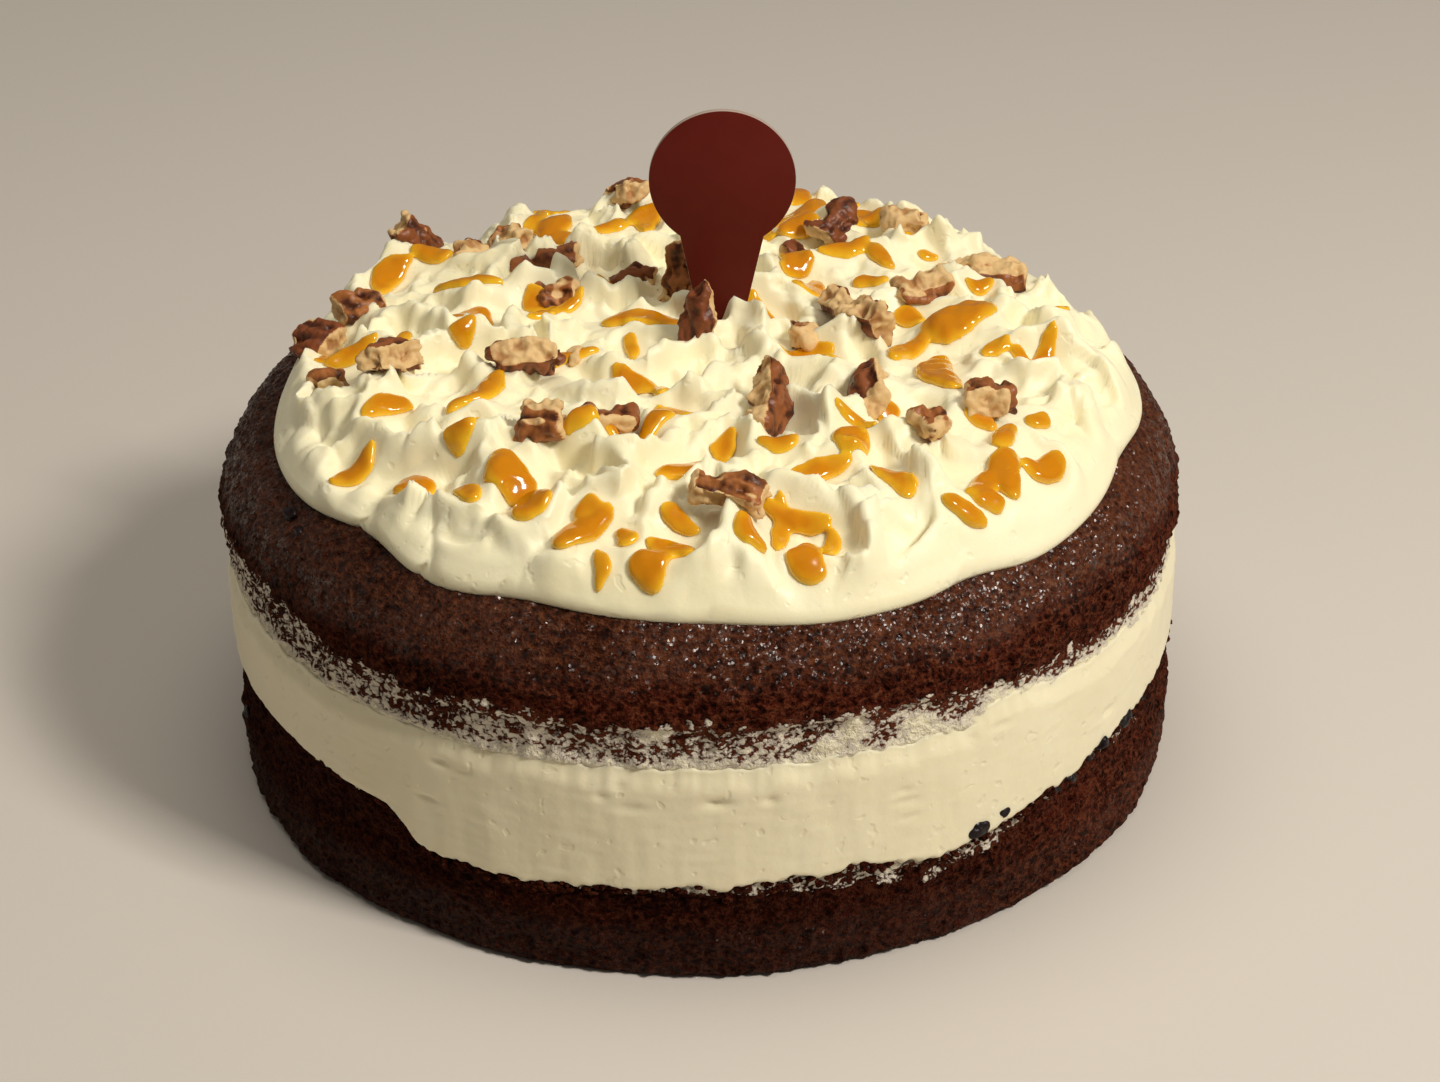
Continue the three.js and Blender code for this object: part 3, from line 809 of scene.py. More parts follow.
# Small crisp marks of the spoon between the broad strokes
def smallMarks(x, y):
    t = toppingSet
    draw = seededDraw(29)
    height = np.zeros_like(x)
    for i in range(t["smallStrokes"]):
        reach = 86 * math.sqrt((i + 0.5) / t["smallStrokes"])
        angle = i * goldenTurn + draw(-0.5, 0.5)
        heading, bend = angle + draw(-2.4, 2.4), draw(4, 11)
        length, half, depth, peak = draw(7, 14), draw(1.5, 3), draw(0.8, 1.6), draw(0.2, 2.2)
        middleX, middleY = reach * math.cos(angle), reach * math.sin(angle)
        near = np.nonzero((np.abs(x - middleX) < 14) & (np.abs(y - middleY) < 14))[0]
        dx = x[near] - middleX + bend * math.cos(heading)
        dy = y[near] - middleY + bend * math.sin(heading)
        along = wrapTurn(np.arctan2(dy, dx) - heading) * bend / length + 0.5
        width = half * (1 - 0.5 * ramp(0.5, 1, along))
        across = (np.hypot(dx, dy) - bend) / width
        run = ramp(0, 0.35, along) * (1 - ramp(0.88, 1.06, along))
        scoop = run * (1 - ramp(0.7, 1, np.abs(across)))
        floor = depth * (0.9 * across**2 - 0.7 + 0.8 * along**2)
        here = height[near]
        here = here + (floor - here) * scoop
        past = (across - 1) * width - 0.5
        crest = np.maximum(0, 1 - (past / np.where(past > 0, 1.7, 0.9)) ** 2)
        here = here + 0.9 * depth * run * (0.3 + 0.7 * along) * crest
        end = heading + length * 0.5 / bend
        gap = np.hypot(dx - bend * math.cos(end), dy - bend * math.sin(end))
        height[near] = here + peak * np.exp(-gap / 1.1)
    return height


def creamPoint(x, y):
    height = 1.2 * np.sin(x / 11 + 1) * np.sin(y / 13 + 2)
    leanX, leanY = np.zeros_like(x), np.zeros_like(x)
    for centreX, centreY, middle, bend, length, half, depth, sense, level, peak, tip in strokes:
        dx, dy = x - centreX, y - centreY
        along = wrapTurn(np.arctan2(dy, dx) - middle) * sense * bend / length + 0.5
        width = half * (1 - 0.6 * ramp(0.55, 1, along))
        across = (np.hypot(dx, dy) - bend) / width
        edge = np.abs(across)
        run = ramp(0, 0.3, along) * (1 - ramp(0.86, 1.1, along))
        scoop = run * (1 - ramp(0.75, 1, edge))
        floor = level + depth * (0.9 * across**2 - 0.8 + 0.7 * along**2)
        height = height + (floor - height) * scoop * 0.95
        past = (edge - 1) * width - 1.3
        roll = np.maximum(0, 1 - (past / np.where(past > 0, 3.4, 2.4)) ** 2) ** 0.6
        height = height + 0.85 * depth * run * (0.35 + 0.65 * along) * roll * (1 + 0.3 * np.sign(across))
        away = ((x - tip[0]) ** 2 + (y - tip[1]) ** 2) / 4.8
        pull = peak * np.exp(0.3 - np.sqrt(away + 0.09))
        height = height + pull
        leanX = leanX + 0.6 * pull * math.cos(tip[2])
        leanY = leanY + 0.6 * pull * math.sin(tip[2])
    calmX, calmY, calmSize = toppingSet["calm"]
    calm = hump(np.hypot(x - calmX, y - calmY), calmSize)
    height = (height - 1.6) * (1 - 0.35 * calm)
    limit = np.where(height > 0, 5.6, 4.6)
    height = limit * np.tanh(height / limit)
    height = height + smallMarks(x, y) * (1 - 0.5 * calm)
    radius, angle = np.hypot(x, y), np.arctan2(y, x)
    rim = rimRadius(angle)
    share = np.minimum(1, radius / rim)
    inner = 1 - ramp(0.93, 1, share)
    lip = np.sqrt(1 - share**18)
    skin = crown(radius) + toppingSet["thick"] * lip + height * inner
    # a groove behind the rolled lip, deepest at the left
    behind = rim - radius - (9.5 + 2.2 * np.sin(3 * angle + 1) + 1.4 * np.sin(8 * angle))
    hollow = np.exp(np.where(behind > 0, -behind / 5, behind / 1.6))
    skin = skin - 1.7 * (1 + np.cos(angle + math.radians(125))) * hollow
    for degrees, depth, slant in toppingSet["creases"]:
        aside = wrapTurn(angle - math.radians(degrees) - slant * (1 - share)) * radius
        groove = np.exp(np.where(aside > 0, -aside / 1.5, aside / 6))
        skin = skin - depth * groove * ramp(0.7, 0.92, share) * (1 - ramp(0.985, 1, share))
    # the sponge never shows through
    spare = skin - crown(radius) - toppingSet["least"] * lip
    skin = skin + 0.5 * (np.hypot(spare, 2) - spare)
    return np.stack([x + leanX * inner, y + leanY * inner, skin], -1)


toppingCream = creamMaterial("toppingCream", creamLook["topping"], creamLook["toppingDeep"], 0.45, 0.45)


# A square grid drawn out to a disc, so that its cells stay even
def discPlan(points):
    half = np.abs(points[:, :2]).max()
    a, b = points[:, 0] / half, points[:, 1] / half
    big = np.abs(a) >= np.abs(b)
    reach = np.where(big, a, b)
    with np.errstate(divide="ignore", invalid="ignore"):
        aside = np.pi / 4 * np.where(a != 0, b / a, 0)
        ahead = np.pi / 2 - np.pi / 4 * np.where(b != 0, a / b, 0)
    turn = np.where(big, aside, ahead)
    turn = np.where(reach < 0, turn + np.pi, turn)
    return np.abs(reach), turn


def makeTopping():
    t = toppingSet
    bpy.ops.object.select_all(action="DESELECT")
    cells, size = t["cells"], 2 * t["radius"] * mm
    bpy.ops.mesh.primitive_grid_add(x_subdivisions=cells, y_subdivisions=cells, size=size)
    piece = startPiece("creamTopping")
    share, turn = discPlan(readPoints(piece))
    # the outer rows roll over the rim and back under it
    lip, last = t["lipFrom"], t["rimShare"]
    inside = share <= lip
    roll = np.clip((share - lip) / (1 - lip), 0, 1)
    tuck = lipTucks(turn + t["tuckSlant"] * roll) * ramp(0.8, 0.96, share) * (1 - ramp(0.3, 0.8, roll))
    rim = rimRadius(turn) - tuck
    plan = np.where(inside, share / lip * last, 1)
    skin = creamPoint(plan * rim * np.cos(turn), plan * rim * np.sin(turn))
    edge = creamPoint(last * rim * np.cos(turn), last * rim * np.sin(turn))
    drop = np.minimum(roll * 1.25, 1)
    bulge = 0.9 * np.sin(np.pi * drop) - 5 * ramp(0.8, 1, roll)
    out = rim * last + 0.4 * (roll > 0) + bulge
    under = np.stack([out * np.cos(turn), out * np.sin(turn), 0 * out], 1)
    bottom = crown(out) - 0.6
    under[:, 2] = edge[:, 2] + (bottom - edge[:, 2]) * drop
    points = np.where(inside[:, None], skin, under)
    writePoints(piece, points)
    bpy.ops.object.mode_set(mode="EDIT")
    bpy.ops.mesh.select_all(action="SELECT")
    bpy.ops.mesh.region_to_loop()
    for k in (0.75, 0.45, 0.12):
        bpy.ops.mesh.extrude_edges_move()
        bpy.ops.transform.resize(value=(k, k, 1), center_override=(0, 0, 0.08))
    bpy.ops.mesh.edge_face_add()
    bpy.ops.object.mode_set(mode="OBJECT")
    closeMesh(piece, 0.0005)
    return piece


creamTopping = makeTopping()
finishPiece(creamTopping, toppingCream, ["cream_topping"])
print("topping", len(creamTopping.data.polygons))


# Caramel drizzle: drops and threads that run together where they meet
caramelSet = {
    # x, y, length, width, turn in plan
    "marks": [
        (51, 2, 13, 9, 0), (51, -24, 16, 7, 90), (-12, 7, 17, 5, 0), (-38, -58, 9, 8, 0),
        (-43, -32, 14, 4.5, 55), (-29, -70, 8, 6.5, 90), (-47, 9, 8, 6.5, 0), (21, -10, 11, 4.5, 0),
        (61, -60, 9, 5.5, 90), (21, 19, 9, 5.5, 90), (29, -13, 11, 5, -45), (20, 31, 7, 6, 90),
        (-46, 23, 13, 4, -25), (29, -53, 6, 6.5, 0), (-69, 38, 11, 4.5, 55), (-54, -52, 7, 5.5, 0),
        (-24, -76, 11, 5, 50), (32, 39, 11, 4.5, 35), (71, 7, 11, 4.5, 90), (66, -52, 7, 5.5, 0),
        (20, -83, 7, 6, 90), (-8, -85, 7, 6, 90), (43, -8, 12, 4, 60), (-5, -57, 10, 5, 40),
        (-18, -84, 6, 2.6, 90), (-4, -33, 10, 4, -50), (-19, -51, 7, 5, 0), (-14, -48, 6, 5.5, 90),
        (-55, 43, 8, 4, 0), (-33, 20, 7, 4.5, 0), (20, -70, 12, 3, -20), (-33, 69, 7, 4, 0),
        (39, -66, 11, 4, -60), (22, -60, 12, 3.5, 20), (-61, -29, 9, 4, 40), (-64, -46, 8, 4.5, 50),
        (14, 10, 9, 4, -50), (69, -16, 9, 4, 45), (54, -61, 9, 4.5, 40), (-68, -3, 10, 3.5, 25),
        (-23, -11, 10, 3.5, 25), (15, -75, 10, 3, 90), (49, -72, 7, 3.5, 0), (18, -50, 7, 3.5, 0),
        (-5, -78, 8, 4.5, -45), (-8, -41, 8, 4, 40), (8, -48, 6, 4, 90), (44, 10, 6, 4, 0),
        (-79, -2, 5, 4.5, 90), (-45, -48, 5, 4.5, 0), (-10, -24, 9, 4, -30), (55, -41, 5, 4.5, 90),
        (54, -68, 5, 4.5, 0), (39, 21, 6, 3.5, 0), (-19, 55, 8, 3.5, 40), (42, 36, 8, 3.5, -65),
        (57, 21, 5, 4, 0), (-40, -39, 6, 3, 90), (-20, -72, 5, 3.5, 0), (-6, -71, 7, 3, -25),
        (-17, 19, 7, 3, 30), (-25, 12, 7, 3, 35), (-50, -5, 5, 3.5, 0), (61, -48, 7, 4, 45),
        (28, -43, 7, 3.5, -30), (37, -35, 4, 4, 90), (-43, -67, 6, 4, -35), (9, -81, 6, 4, -55),
        (-5, -23, 5, 3, 90), (-16, -1, 6, 2.5, 90), (-35, 8, 5, 3, 0), (6, 10, 6, 3, -35),
        (-59, -10, 6, 2.5, 90), (60, -11, 6, 3, 45), (-11, -75, 4, 3.5, 90), (66, -38, 4, 3.5, 0),
        (24, -33, 4, 3.5, 90), (-22, 25, 5, 2.5, 90), (27, -81, 5, 3, 90), (40, -13, 4, 3, 90),
        (-25, -45, 4, 2.5, 30), (50, 39, 4, 2.5, -35), (65, -10, 3, 3, 90), (47, 50, 3, 2.5, 90),
    ],
    "moreCount": 26,  # further drops at the back
    "swell": 1.25,
    "voxel": 0.5,
    "wobble": [(2.6, 0.35, 61.7)],
    "search": (-2.5, 0, 2.5),  # steps to a calmer place
}


def drizzleMarks():
    marks = list(caramelSet["marks"])
    draw = seededDraw(77)
    while len(marks) < len(caramelSet["marks"]) + caramelSet["moreCount"]:
        x, y = draw(-70, 70), draw(42, 80)
        mark = (x, y, draw(4, 12), draw(3, 6), draw(-90, 90))
        if math.hypot(x, y) < 78 and y > 46 + 0.1 * abs(x):
            marks.append(mark)
    return marks


def creamHeight(x, y):
    hit, place, _, _ = creamTopping.ray_cast((x * mm, y * mm, 0.2), (0, 0, -1))
    return place.z / mm if hit else float(crown(math.hypot(x, y)))


# The calmest place near a mark: sauce runs off the crests
def calmPlace(x, y, length, width, turn):
    best = None
    turns = np.linspace(0, 2 * np.pi, 13)[:-1] + math.radians(turn)
    halfLong, halfWide = 0.4 * length, 0.4 * width
    for dx, dy in itertools.product(caramelSet["search"], repeat=2):
        newX, newY = x + dx, y + dy
        ring = [creamHeight(newX + halfLong * math.cos(t), newY + halfWide * math.sin(t)) for t in turns]
        crest = creamHeight(newX, newY) - np.mean(ring)
        cost = np.std(ring) + 0.8 * crest + 0.12 * math.hypot(dx, dy)
        if best is None or cost < best[0]:
            best = (cost, newX, newY)
    return best[1:]


# Terms of a gently bent sheet through points about a place
def sheetTerms(dx, dy):
    return np.stack([np.ones_like(dx), dx, dy, dx * dx, dy * dy, dx * dy], 1)


# The cream lies smooth under each drop
def pressSmooth(marks):
    points = readPoints(creamTopping)
    upper = points[:, 2] > crown(reachOf(points)) + 1.5
    for x, y, length, width, turn in marks:
        c, s = math.cos(math.radians(turn)), math.sin(math.radians(turn))
        dx, dy = points[:, 0] - x, points[:, 1] - y
        away = np.hypot((dx * c + dy * s) / (length / 2 + 1.3), (dy * c - dx * s) / (width / 2 + 1.3))
        near = np.nonzero(upper & (away < 1.5))[0]
        inside = near[away[near] < 1.1]
        bend = np.linalg.lstsq(sheetTerms(dx[inside], dy[inside]), points[inside, 2], rcond=None)[0]
        even = sheetTerms(dx[near], dy[near]) @ bend
        points[near, 2] += 0.9 * (1 - ramp(0.85, 1.5, away[near])) * (even - points[near, 2])
    writePoints(creamTopping, points)
    bpy.context.view_layer.update()


# A flattened ball laid over the cream
def settledDrop(ball, number, x, y, length, width, turn):
    c, s = math.cos(math.radians(turn)), math.sin(math.radians(turn))
    around = np.arctan2(ball[:, 1], ball[:, 0])
    swell = 1 + 0.07 * np.sin(2 * around + 1.7 * number) + 0.07 * np.sin(3 * around + 2.9 * number)
    along = ball[:, 0] * swell * length / 2
    across = ball[:, 1] * swell * width / 2 + 0.14 * width * np.sin(2.2 * ball[:, 0] + number)
    placeX, placeY = x + along * c - across * s, y + along * s + across * c
    under = np.array([creamHeight(a, b) for a, b in zip(placeX, placeY)])
    bend = np.linalg.lstsq(sheetTerms(placeX - x, placeY - y), under, rcond=None)[0]
    up = np.array([-bend[1], -bend[2], 1]) / math.sqrt(bend[1] ** 2 + bend[2] ** 2 + 1)
    thick = min(2.1, 0.7 + 0.2 * width)
    rise = 0.25 + np.where(ball[:, 2] > 0, (thick - 0.2) * np.abs(ball[:, 2]) ** 0.75, 1.2 * ball[:, 2])
    return np.stack([placeX, placeY, under], 1) + rise[:, None] * up


caramelLook = {
    "thin": (0.88, 0.53, 0.02, 1),
    "thick": (0.60, 0.215, 0.0006, 1),
    "shine": {
        "Subsurface Weight": 0.25,
        "Subsurface Radius": (1.0, 0.4, 0.05),
        "Subsurface Scale": 0.0012,
        "Specular IOR Level": 0.4,
        "Coat Weight": 0.4,
        "Coat Roughness": 0.06,
    },
}


def caramelMaterial():
    material, tree, shader, coords = newMaterial("caramelSauce")
    cloud = noiseNode(tree, coords, 220, 2, 0.5)
    depth = weigh(tree, (readAttribute(tree, "thick"), 1), (cloud, 0.4))
    colour = mixColours(tree, stretch(tree, depth, 0.5, 1.8), caramelLook["thin"], caramelLook["thick"])
    plug(tree, shader.inputs["Base Color"], colour)
    plug(tree, shader.inputs["Roughness"], stretch(tree, cloud, 0.3, 0.7, 0.1, 0.2))
    setInputs(shader, caramelLook["shine"])
    addBump(tree, shader, cloud, 0.1, 0.4)
    return material


caramelSauce = caramelMaterial()


def makeCaramel():
    bpy.ops.object.select_all(action="DESELECT")
    bpy.ops.mesh.primitive_uv_sphere_add(segments=20, ring_count=12, radius=mm)
    piece = startPiece("caramelDrizzle")
    ball = readPoints(piece)
    faces = [tuple(face.vertices) for face in piece.data.polygons]
    grow = caramelSet["swell"]
    marks = [(*calmPlace(*mark), mark[2] * grow, mark[3] * grow, mark[4]) for mark in drizzleMarks()]
    pressSmooth(marks)
    points, joinedFaces = [], []
    for number, mark in enumerate(marks):
        joinedFaces += [tuple(v + number * len(ball) for v in face) for face in faces]
        points.append(settledDrop(ball, number, *mark))
    piece.data.clear_geometry()
    piece.data.from_pydata((np.concatenate(points) * mm).tolist(), [], joinedFaces)
    piece.data.update()
    applyModifier(piece, "REMESH", mode="VOXEL", voxel_size=caramelSet["voxel"] * mm)
    applyModifier(piece, "SMOOTH", factor=0.5, iterations=3)
    roughen(piece, caramelSet["wobble"])
    closeMesh(piece)
    thick = []
    for vertex in piece.data.vertices:
        _, place, normal, _ = creamTopping.closest_point_on_mesh(vertex.co)
        thick.append((vertex.co - place).dot(normal) / mm)
    setAttribute(piece, "thick", np.clip(thick, 0, 2))
    finishPiece(piece, caramelSauce, ["cream_topping"])
    return piece


caramelDrizzle = makeCaramel()
print("caramel", len(caramelDrizzle.data.polygons))


# Pecan pieces: brown skin outside, pale flesh where they were chopped
pecanLook = {
    "skin": (0.380, 0.135, 0.036, 1),
    "skinRed": (0.215, 0.060, 0.020, 1),
    "skinDarkAndShade": (0.065, 0.016, 0.006, 1),
    "rind": (0.450, 0.190, 0.060, 1),
    "flesh": (0.72, 0.49, 0.23, 1),
    "fleshShade": (0.44, 0.22, 0.08, 1),
    "shine": {
        "Specular IOR Level": 0.35,
        "Subsurface Weight": 0.12,
        "Subsurface Radius": (1.0, 0.6, 0.3),
        "Subsurface Scale": 0.001,
    },
}


def pecanMaterial():
    look = pecanLook
    material, tree, shader, coords = newMaterial("choppedPecan")
    vein = noiseNode(tree, coords, 380, 3, 0.6)
    grain = noiseNode(tree, coords, 1300, 3, 0.6)
    # dark veins, and painted shade in the hollows of the wrinkles and cracks, darken the skin and the flesh
    hollow = weigh(tree, (readAttribute(tree, "hollow"), -0.6), (vein, 1))
    paper = mixColours(tree, readAttribute(tree, "toast"), look["skin"], look["skinRed"])
    skin = mixColours(tree, stretch(tree, hollow, 0.35, 0.85), paper, look["skinDarkAndShade"])
    flesh = mixColours(tree, stretch(tree, hollow, 0.35, 0.95), look["flesh"], look["fleshShade"])
    ragged = math2(tree, "SUBTRACT", vein, 0.5)
    edge = weigh(tree, (readAttribute(tree, "flesh"), 1), (ragged, 1.1))
    bare = stretch(tree, edge, 0.42, 0.58)
    fleshEdge = mixColours(tree, stretch(tree, edge, 0.5, 0.85), look["rind"], flesh)
    plug(tree, shader.inputs["Base Color"], mixColours(tree, bare, skin, fleshEdge))
    plug(tree, shader.inputs["Roughness"], stretch(tree, bare, 0, 1, 0.4, 0.6))
    setInputs(shader, look["shine"])
    addBump(tree, shader, weigh(tree, (vein, 0.6), (grain, 0.4)), 0.6, 0.6)
    return material


choppedPecan = pecanMaterial()

pecanSet = {
    "length": 28,
    "width": 16,
    "height": 10,
    "voxel": 0.34,
    # turn, roll and pitch in degrees, size of the kernel, cut from and to along it, and which half
    "pieces": [
        (200, 0, 50, 1, 0.36, 0.75, 1), (15, 0, 5, 0.9, 0.36, 0.7, -1),
        (-25, 10, 5, 0.95, 0.36, 0.68, -1), (-80, 10, 20, 0.9, 0.4, 0.72, 1),
        (-130, 25, 15, 1, 0.4, 0.76, -1), (10, 0, 5, 0.9, 0.25, 0.77, -1),
        (-15, 10, 8, 0.9, 0.3, 0.74, -1), (-70, 0, 30, 0.85, 0.4, 0.69, 1),
        (-40, 10, 20, 0.85, 0.36, 0.7, 1), (95, 0, 125, 0.9, 0.3, 0.6, 0),
        (-80, 20, 10, 0.55, 0.6, 0.88, 1), (-60, 0, 30, 0.95, 0.45, 0.75, 1),
        (15, 10, 5, 0.95, 0.3, 0.66, 1), (70, -20, 70, 0.8, 0.3, 0.8, -1),
        (95, 0, 78, 0.9, 0.4, 0.95, 1), (-20, 20, 12, 0.95, 0.42, 0.74, -1),
        (-92, 0, 12, 0.75, 0.44, 0.66, 0), (-100, -45, -8, 1, 0.15, 0.87, 1),
        (165, -25, 8, 0.9, 0.3, 0.82, -1), (-60, -60, 6, 1.05, 0.12, 0.84, 1),
        (-100, 0, 20, 0.9, 0.5, 0.8, 1), (-88, 40, 6, 1, 0.28, 0.74, -1),
        (-95, 0, 18, 1.1, 0.38, 0.66, 1), (-130, 10, 10, 0.85, 0.42, 0.68, 1),
        (40, 0, 25, 1, 0.5, 1, -1), (-20, 10, 10, 0.9, 0.36, 0.7, 1), (-90, 0, 20, 0.8, 0.55, 0.85, 1),
        (20, 0, 5, 0.95, 0.32, 0.7, -1), (-10, 5, 6, 1, 0.16, 0.78, -1),
    ],
    # broken faces without skin: the way they look, as azimuth and elevation
    "broken": {
        1: (160, 50), 4: (-90, 10), 5: (-60, 30), 7: (-10, 20), 8: (-90, 40), 9: (-90, 40),
        11: (-90, 40), 12: (-90, 20), 16: (60, 60), 19: (190, 20), 20: (-120, 60), 21: (-60, 30),
        22: (-20, 0), 23: (-95, 10), 24: (-20, 10), 26: (-90, 50), 27: (-90, 30), 28: (90, 70),
        29: (90, 70),
    },
}


# Half a kernel along X, ridged back up, with two lobes and a groove between them
def kernelPoints(points, size, seed):
    x, y, z = points[:, 2].copy(), points[:, 0].copy(), points[:, 1].copy()
    around = np.arctan2(z, y)
    groove = 0.34 * hump(around - np.pi / 2, 0.45) + 0.3 * hump(around + np.pi / 2, 0.5)
    plump = (1 - groove) * (1 + 0.07 * np.cos(9 * x))
    folds = 1 + 0.05 * np.sin(6 * around + 2.2 * x + seed) * (1 - x**2)
    plump *= folds + 0.03 * np.sin(13 * around - 5 * x)
    y, z = y * plump, z * plump * np.where(z < 0, 0.55, 1)
    half = np.array([pecanSet["length"], pecanSet["width"], pecanSet["height"]]) / 2
    return np.stack([x, y, z], 1) * half * size


def cutFlat(place, normal):
    bpy.ops.mesh.select_all(action="SELECT")
    cut = {"plane_co": Vector(place) * mm, "plane_no": normal, "threshold": 1e-7}
    bpy.ops.mesh.bisect(use_fill=True, clear_outer=True, **cut)


def makePecan(number):
    s = pecanSet
    node = f"pecan_{number:02d}"
    turn, roll, pitch, size, start, stop, half = s["pieces"][number - 1]
    slant = 0.3 * math.sin((number - 1) * 2.1)
    bpy.ops.object.select_all(action="DESELECT")
    bpy.ops.mesh.primitive_uv_sphere_add(segments=64, ring_count=48, radius=mm)
    piece = startPiece(f"choppedPecan{number:02d}")
    writePoints(piece, kernelPoints(readPoints(piece), size, number))
    length = s["length"] * size
    middle, reach = ((start + stop) / 2 - 0.5) * length, (stop - start) * length / 2
    along = Vector((math.cos(slant), math.sin(slant), 0))
    centre = Vector((middle, 0, 0))
    cuts = [(centre + along * reach, along), (centre - along * reach, -along)]
    if half:
        aside = Vector((math.sin(0.5 * slant), math.cos(0.5 * slant), 0))
        cuts.append((Vector((0, half * 20.4, 0)) - half * 20 * aside, -half * aside))
    bpy.ops.object.mode_set(mode="EDIT")
    for place, normal in cuts:
        cutFlat(place, normal)
    bpy.ops.object.mode_set(mode="OBJECT")
    closeMesh(piece)
    # turned as the solid is, and set into its place
    spin = np.array(turnBy(turn, "Z") @ turnBy(-pitch, "Y") @ turnBy(roll, "X"))
    points = readPoints(piece) @ spin.T
    low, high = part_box(node)
    shift = np.array((low + high) / 2) / mm - (points.min(0) + points.max(0)) / 2
    writePoints(piece, points + shift)
    applyModifier(piece, "REMESH", mode="VOXEL", voxel_size=s["voxel"] * mm)
    applyModifier(piece, "SMOOTH", factor=0.5, iterations=7)
    points, normals = readPoints(piece), readNormals(piece)
    local, facing = (points - shift) @ spin, normals @ spin
    flesh = np.zeros(len(points))
    for place, normal in cuts:
        near = 1 - ramp(0.3, 1.0, np.abs((local - np.array(place)) @ np.array(normal)))
        flesh = np.maximum(flesh, near * ramp(0.55, 0.85, facing @ np.array(normal)))
    if number in s["broken"]:
        azimuth, rise = (math.radians(a) for a in s["broken"][number])
        level = math.cos(rise)
        out = np.array([math.cos(azimuth) * level, math.sin(azimuth) * level, math.sin(rise)])
        flesh = np.maximum(flesh, ramp(0.35, 0.6, normals @ out + 0.5 * noiseAt(local, 3.5, number * 4.1)))
    lobe = noiseAt(local, 5, number * 5.3)
    notch = ramp(0.12, 0.4, noiseAt(local, 4, number * 6.7))
    wrinkle = noiseAt(local * (0.4, 1, 1), 1.6, number * 3.3)
    crack = 1 - 3.2 * np.abs(noiseAt(local, 4, number * 1.7)) + 0.5 * noiseAt(local, 1.4, number * 2.9)
    around = np.arctan2(local[:, 2], local[:, 1])
    ridge = np.sin(9 * around + 2 * noiseAt(local, 4, number * 7.9))
    splinter = noiseAt(local, 1.1, number * 8.3)
    push = 1.8 * lobe - 1.3 * notch + 0.35 * splinter + 0.2
    push += (1 - flesh) * (0.45 * wrinkle + 0.16 * ridge) + flesh * 0.5 * crack
    writePoints(piece, points + normals * push[:, None])
    setAttribute(piece, "flesh", flesh)
    setAttribute(piece, "toast", np.full(len(points), 0.5 + 0.5 * math.sin(number * 2.6)))
    hollow = np.where(flesh > 0.5, crack + splinter, wrinkle + 0.3 * ridge + 0.5 * splinter)
    setAttribute(piece, "hollow", hollow)
    bpy.ops.object.shade_smooth()
    finishPiece(piece, choppedPecan, [node])
    return piece


pecans = [makePecan(number) for number in range(1, 30)]
print("pecans", sum(len(p.data.polygons) for p in pecans))


# Topper: a bare card plate with pale cut edges
topperLook = {
    "face": (0.104, 0.0092, 0.0054, 1),
    "faceWorn": (0.118, 0.0110, 0.0065, 1),
    "cut": (0.42, 0.33, 0.27, 1),
    "bevel": 0.14,
}


def topperMaterial():
    material, tree, shader, coords = newMaterial("topperCard")
    cloud = noiseNode(tree, coords, 90, 3, 0.6)
    face = mixColours(tree, stretch(tree, cloud, 0.35, 0.65), topperLook["face"], topperLook["faceWorn"])
    colour = mixColours(tree, readAttribute(tree, "cutEdge"), face, topperLook["cut"])
    plug(tree, shader.inputs["Base Color"], colour)
    fine = noiseNode(tree, coords, 2200, 2, 0.5)
    plug(tree, shader.inputs["Roughness"], stretch(tree, cloud, 0.3, 0.7, 0.36, 0.46))
    shader.inputs["Specular IOR Level"].default_value = 0.15
    addBump(tree, shader, fine, 0.12, 0.1)
    return material


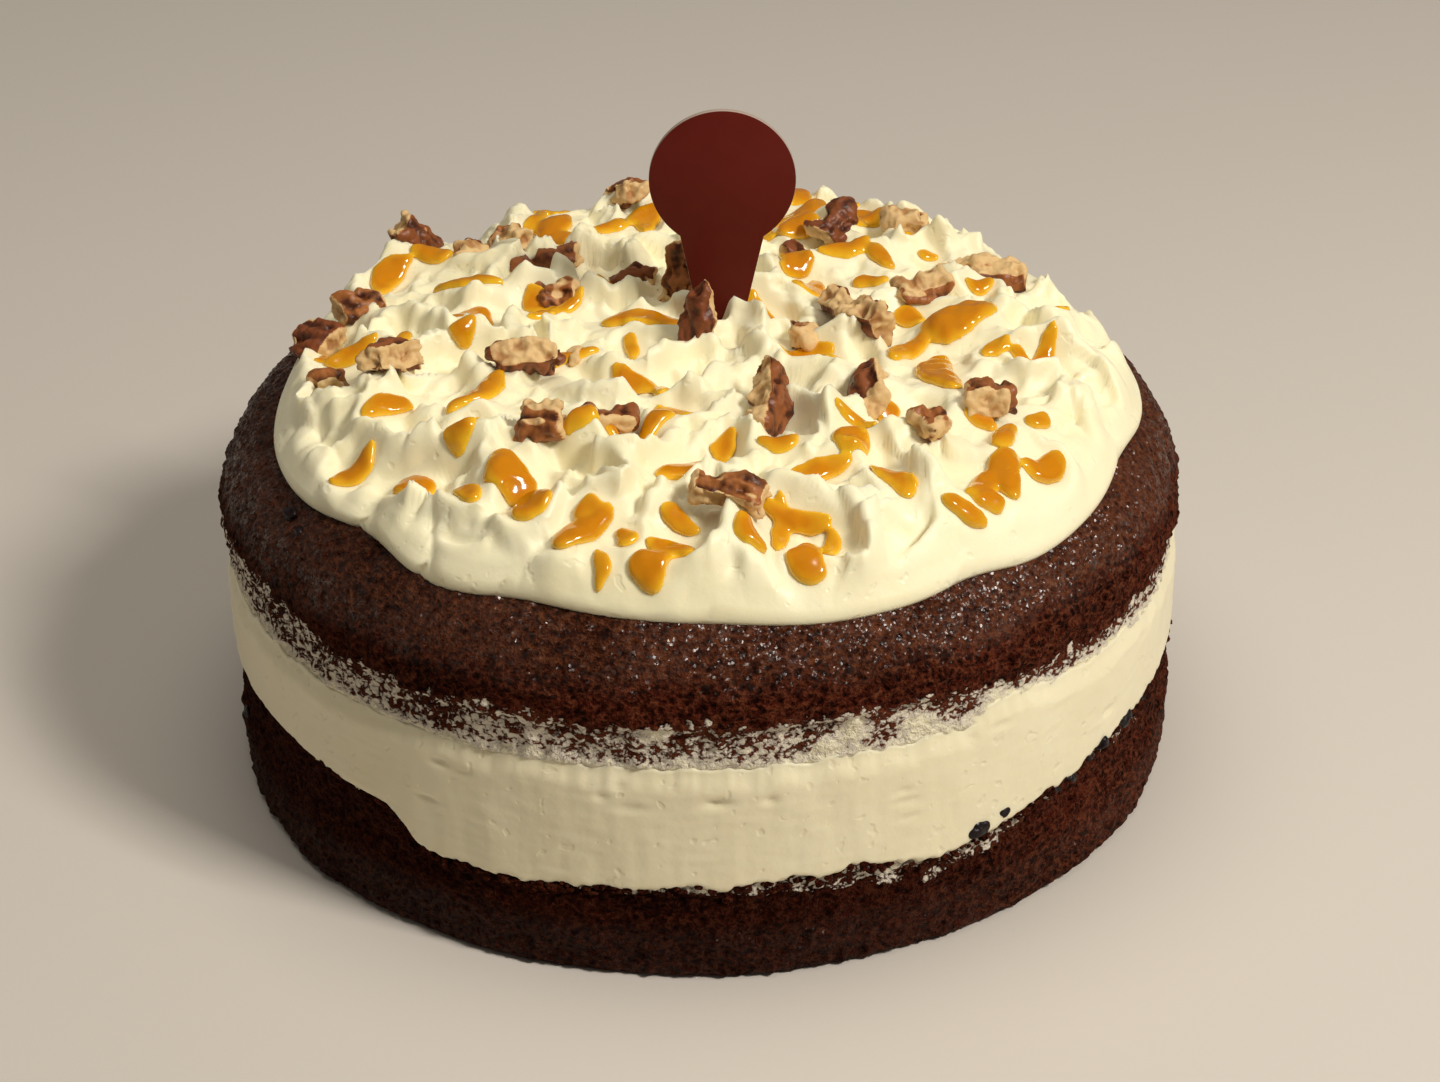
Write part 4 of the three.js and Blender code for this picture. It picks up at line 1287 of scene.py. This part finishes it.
def makeTopper():
    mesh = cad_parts["topper"].data.copy()
    piece = bpy.data.objects.new("topperPlate", mesh)
    bpy.context.scene.collection.objects.link(piece)
    closeMesh(piece)
    bpy.ops.object.mode_set(mode="EDIT")
    bpy.ops.mesh.select_all(action="SELECT")
    bpy.ops.mesh.dissolve_limited(angle_limit=math.radians(1))
    bpy.ops.object.mode_set(mode="OBJECT")
    corners = {"limit_method": "ANGLE", "angle_limit": math.radians(60)}
    applyModifier(piece, "BEVEL", width=topperLook["bevel"] * mm, segments=2, **corners)
    useAlone(piece)
    bpy.ops.object.shade_smooth_by_angle(angle=math.radians(35))
    layer = piece.data.attributes.new("cutEdge", "FLOAT", "FACE")
    cutEdge = [0.0 if abs(face.normal.y) > 0.5 else 1.0 for face in piece.data.polygons]
    layer.data.foreach_set("value", cutEdge)
    finishPiece(piece, topperMaterial(), ["topper"])
    return piece


topper = makeTopper()
print("topper", len(topper.data.polygons))


# Pale table top and soft light from the right
stageSet = {
    "floor": (0.68, 0.625, 0.56, 1),
    "floorWarm": (0.65, 0.595, 0.535, 1),
    "sky": (1.0, 0.93, 0.82, 1),
    "skyLevel": 0.135,
    # place, size, power, whether it glints
    "lights": [((0.736, -0.551, 0.97), 0.27, 13.4, True), ((-0.1, 0.1, 1.2), 0.9, 4.4, False)],
    "lightColour": (1.0, 0.95, 0.87),
    "aim": (0, 0, 0.07),
}


def makeStage():
    bpy.ops.object.select_all(action="DESELECT")
    bpy.ops.mesh.primitive_plane_add(size=8)
    floor = startPiece("tableTop")
    material, tree, shader, coords = newMaterial("tableCloth")
    cloud = noiseNode(tree, coords, 3, 3, 0.6)
    colour = mixColours(tree, cloud, stageSet["floor"], stageSet["floorWarm"])
    plug(tree, shader.inputs["Base Color"], colour)
    shader.inputs["Roughness"].default_value = 0.7
    addBump(tree, shader, noiseNode(tree, coords, 900, 2, 0.5), 0.15, 0.2)
    floor.data.materials.append(material)
    for place, size, power, glints in stageSet["lights"]:
        bpy.ops.object.light_add(type="AREA", location=place)
        light = bpy.context.object
        light.data.size = size
        light.data.energy = power
        light.data.color = stageSet["lightColour"]
        light.visible_glossy = glints
        towards = Vector(stageSet["aim"]) - Vector(place)
        light.rotation_euler = towards.to_track_quat("-Z", "Y").to_euler()
    world = bpy.data.worlds.new("softRoom")
    bpy.context.scene.world = world
    world.use_nodes = True
    sky = world.node_tree.nodes["Background"]
    sky.inputs["Color"].default_value = stageSet["sky"]
    sky.inputs["Strength"].default_value = stageSet["skyLevel"]
    bpy.context.scene.view_settings.view_transform = "Standard"


makeStage()
print("stage set")
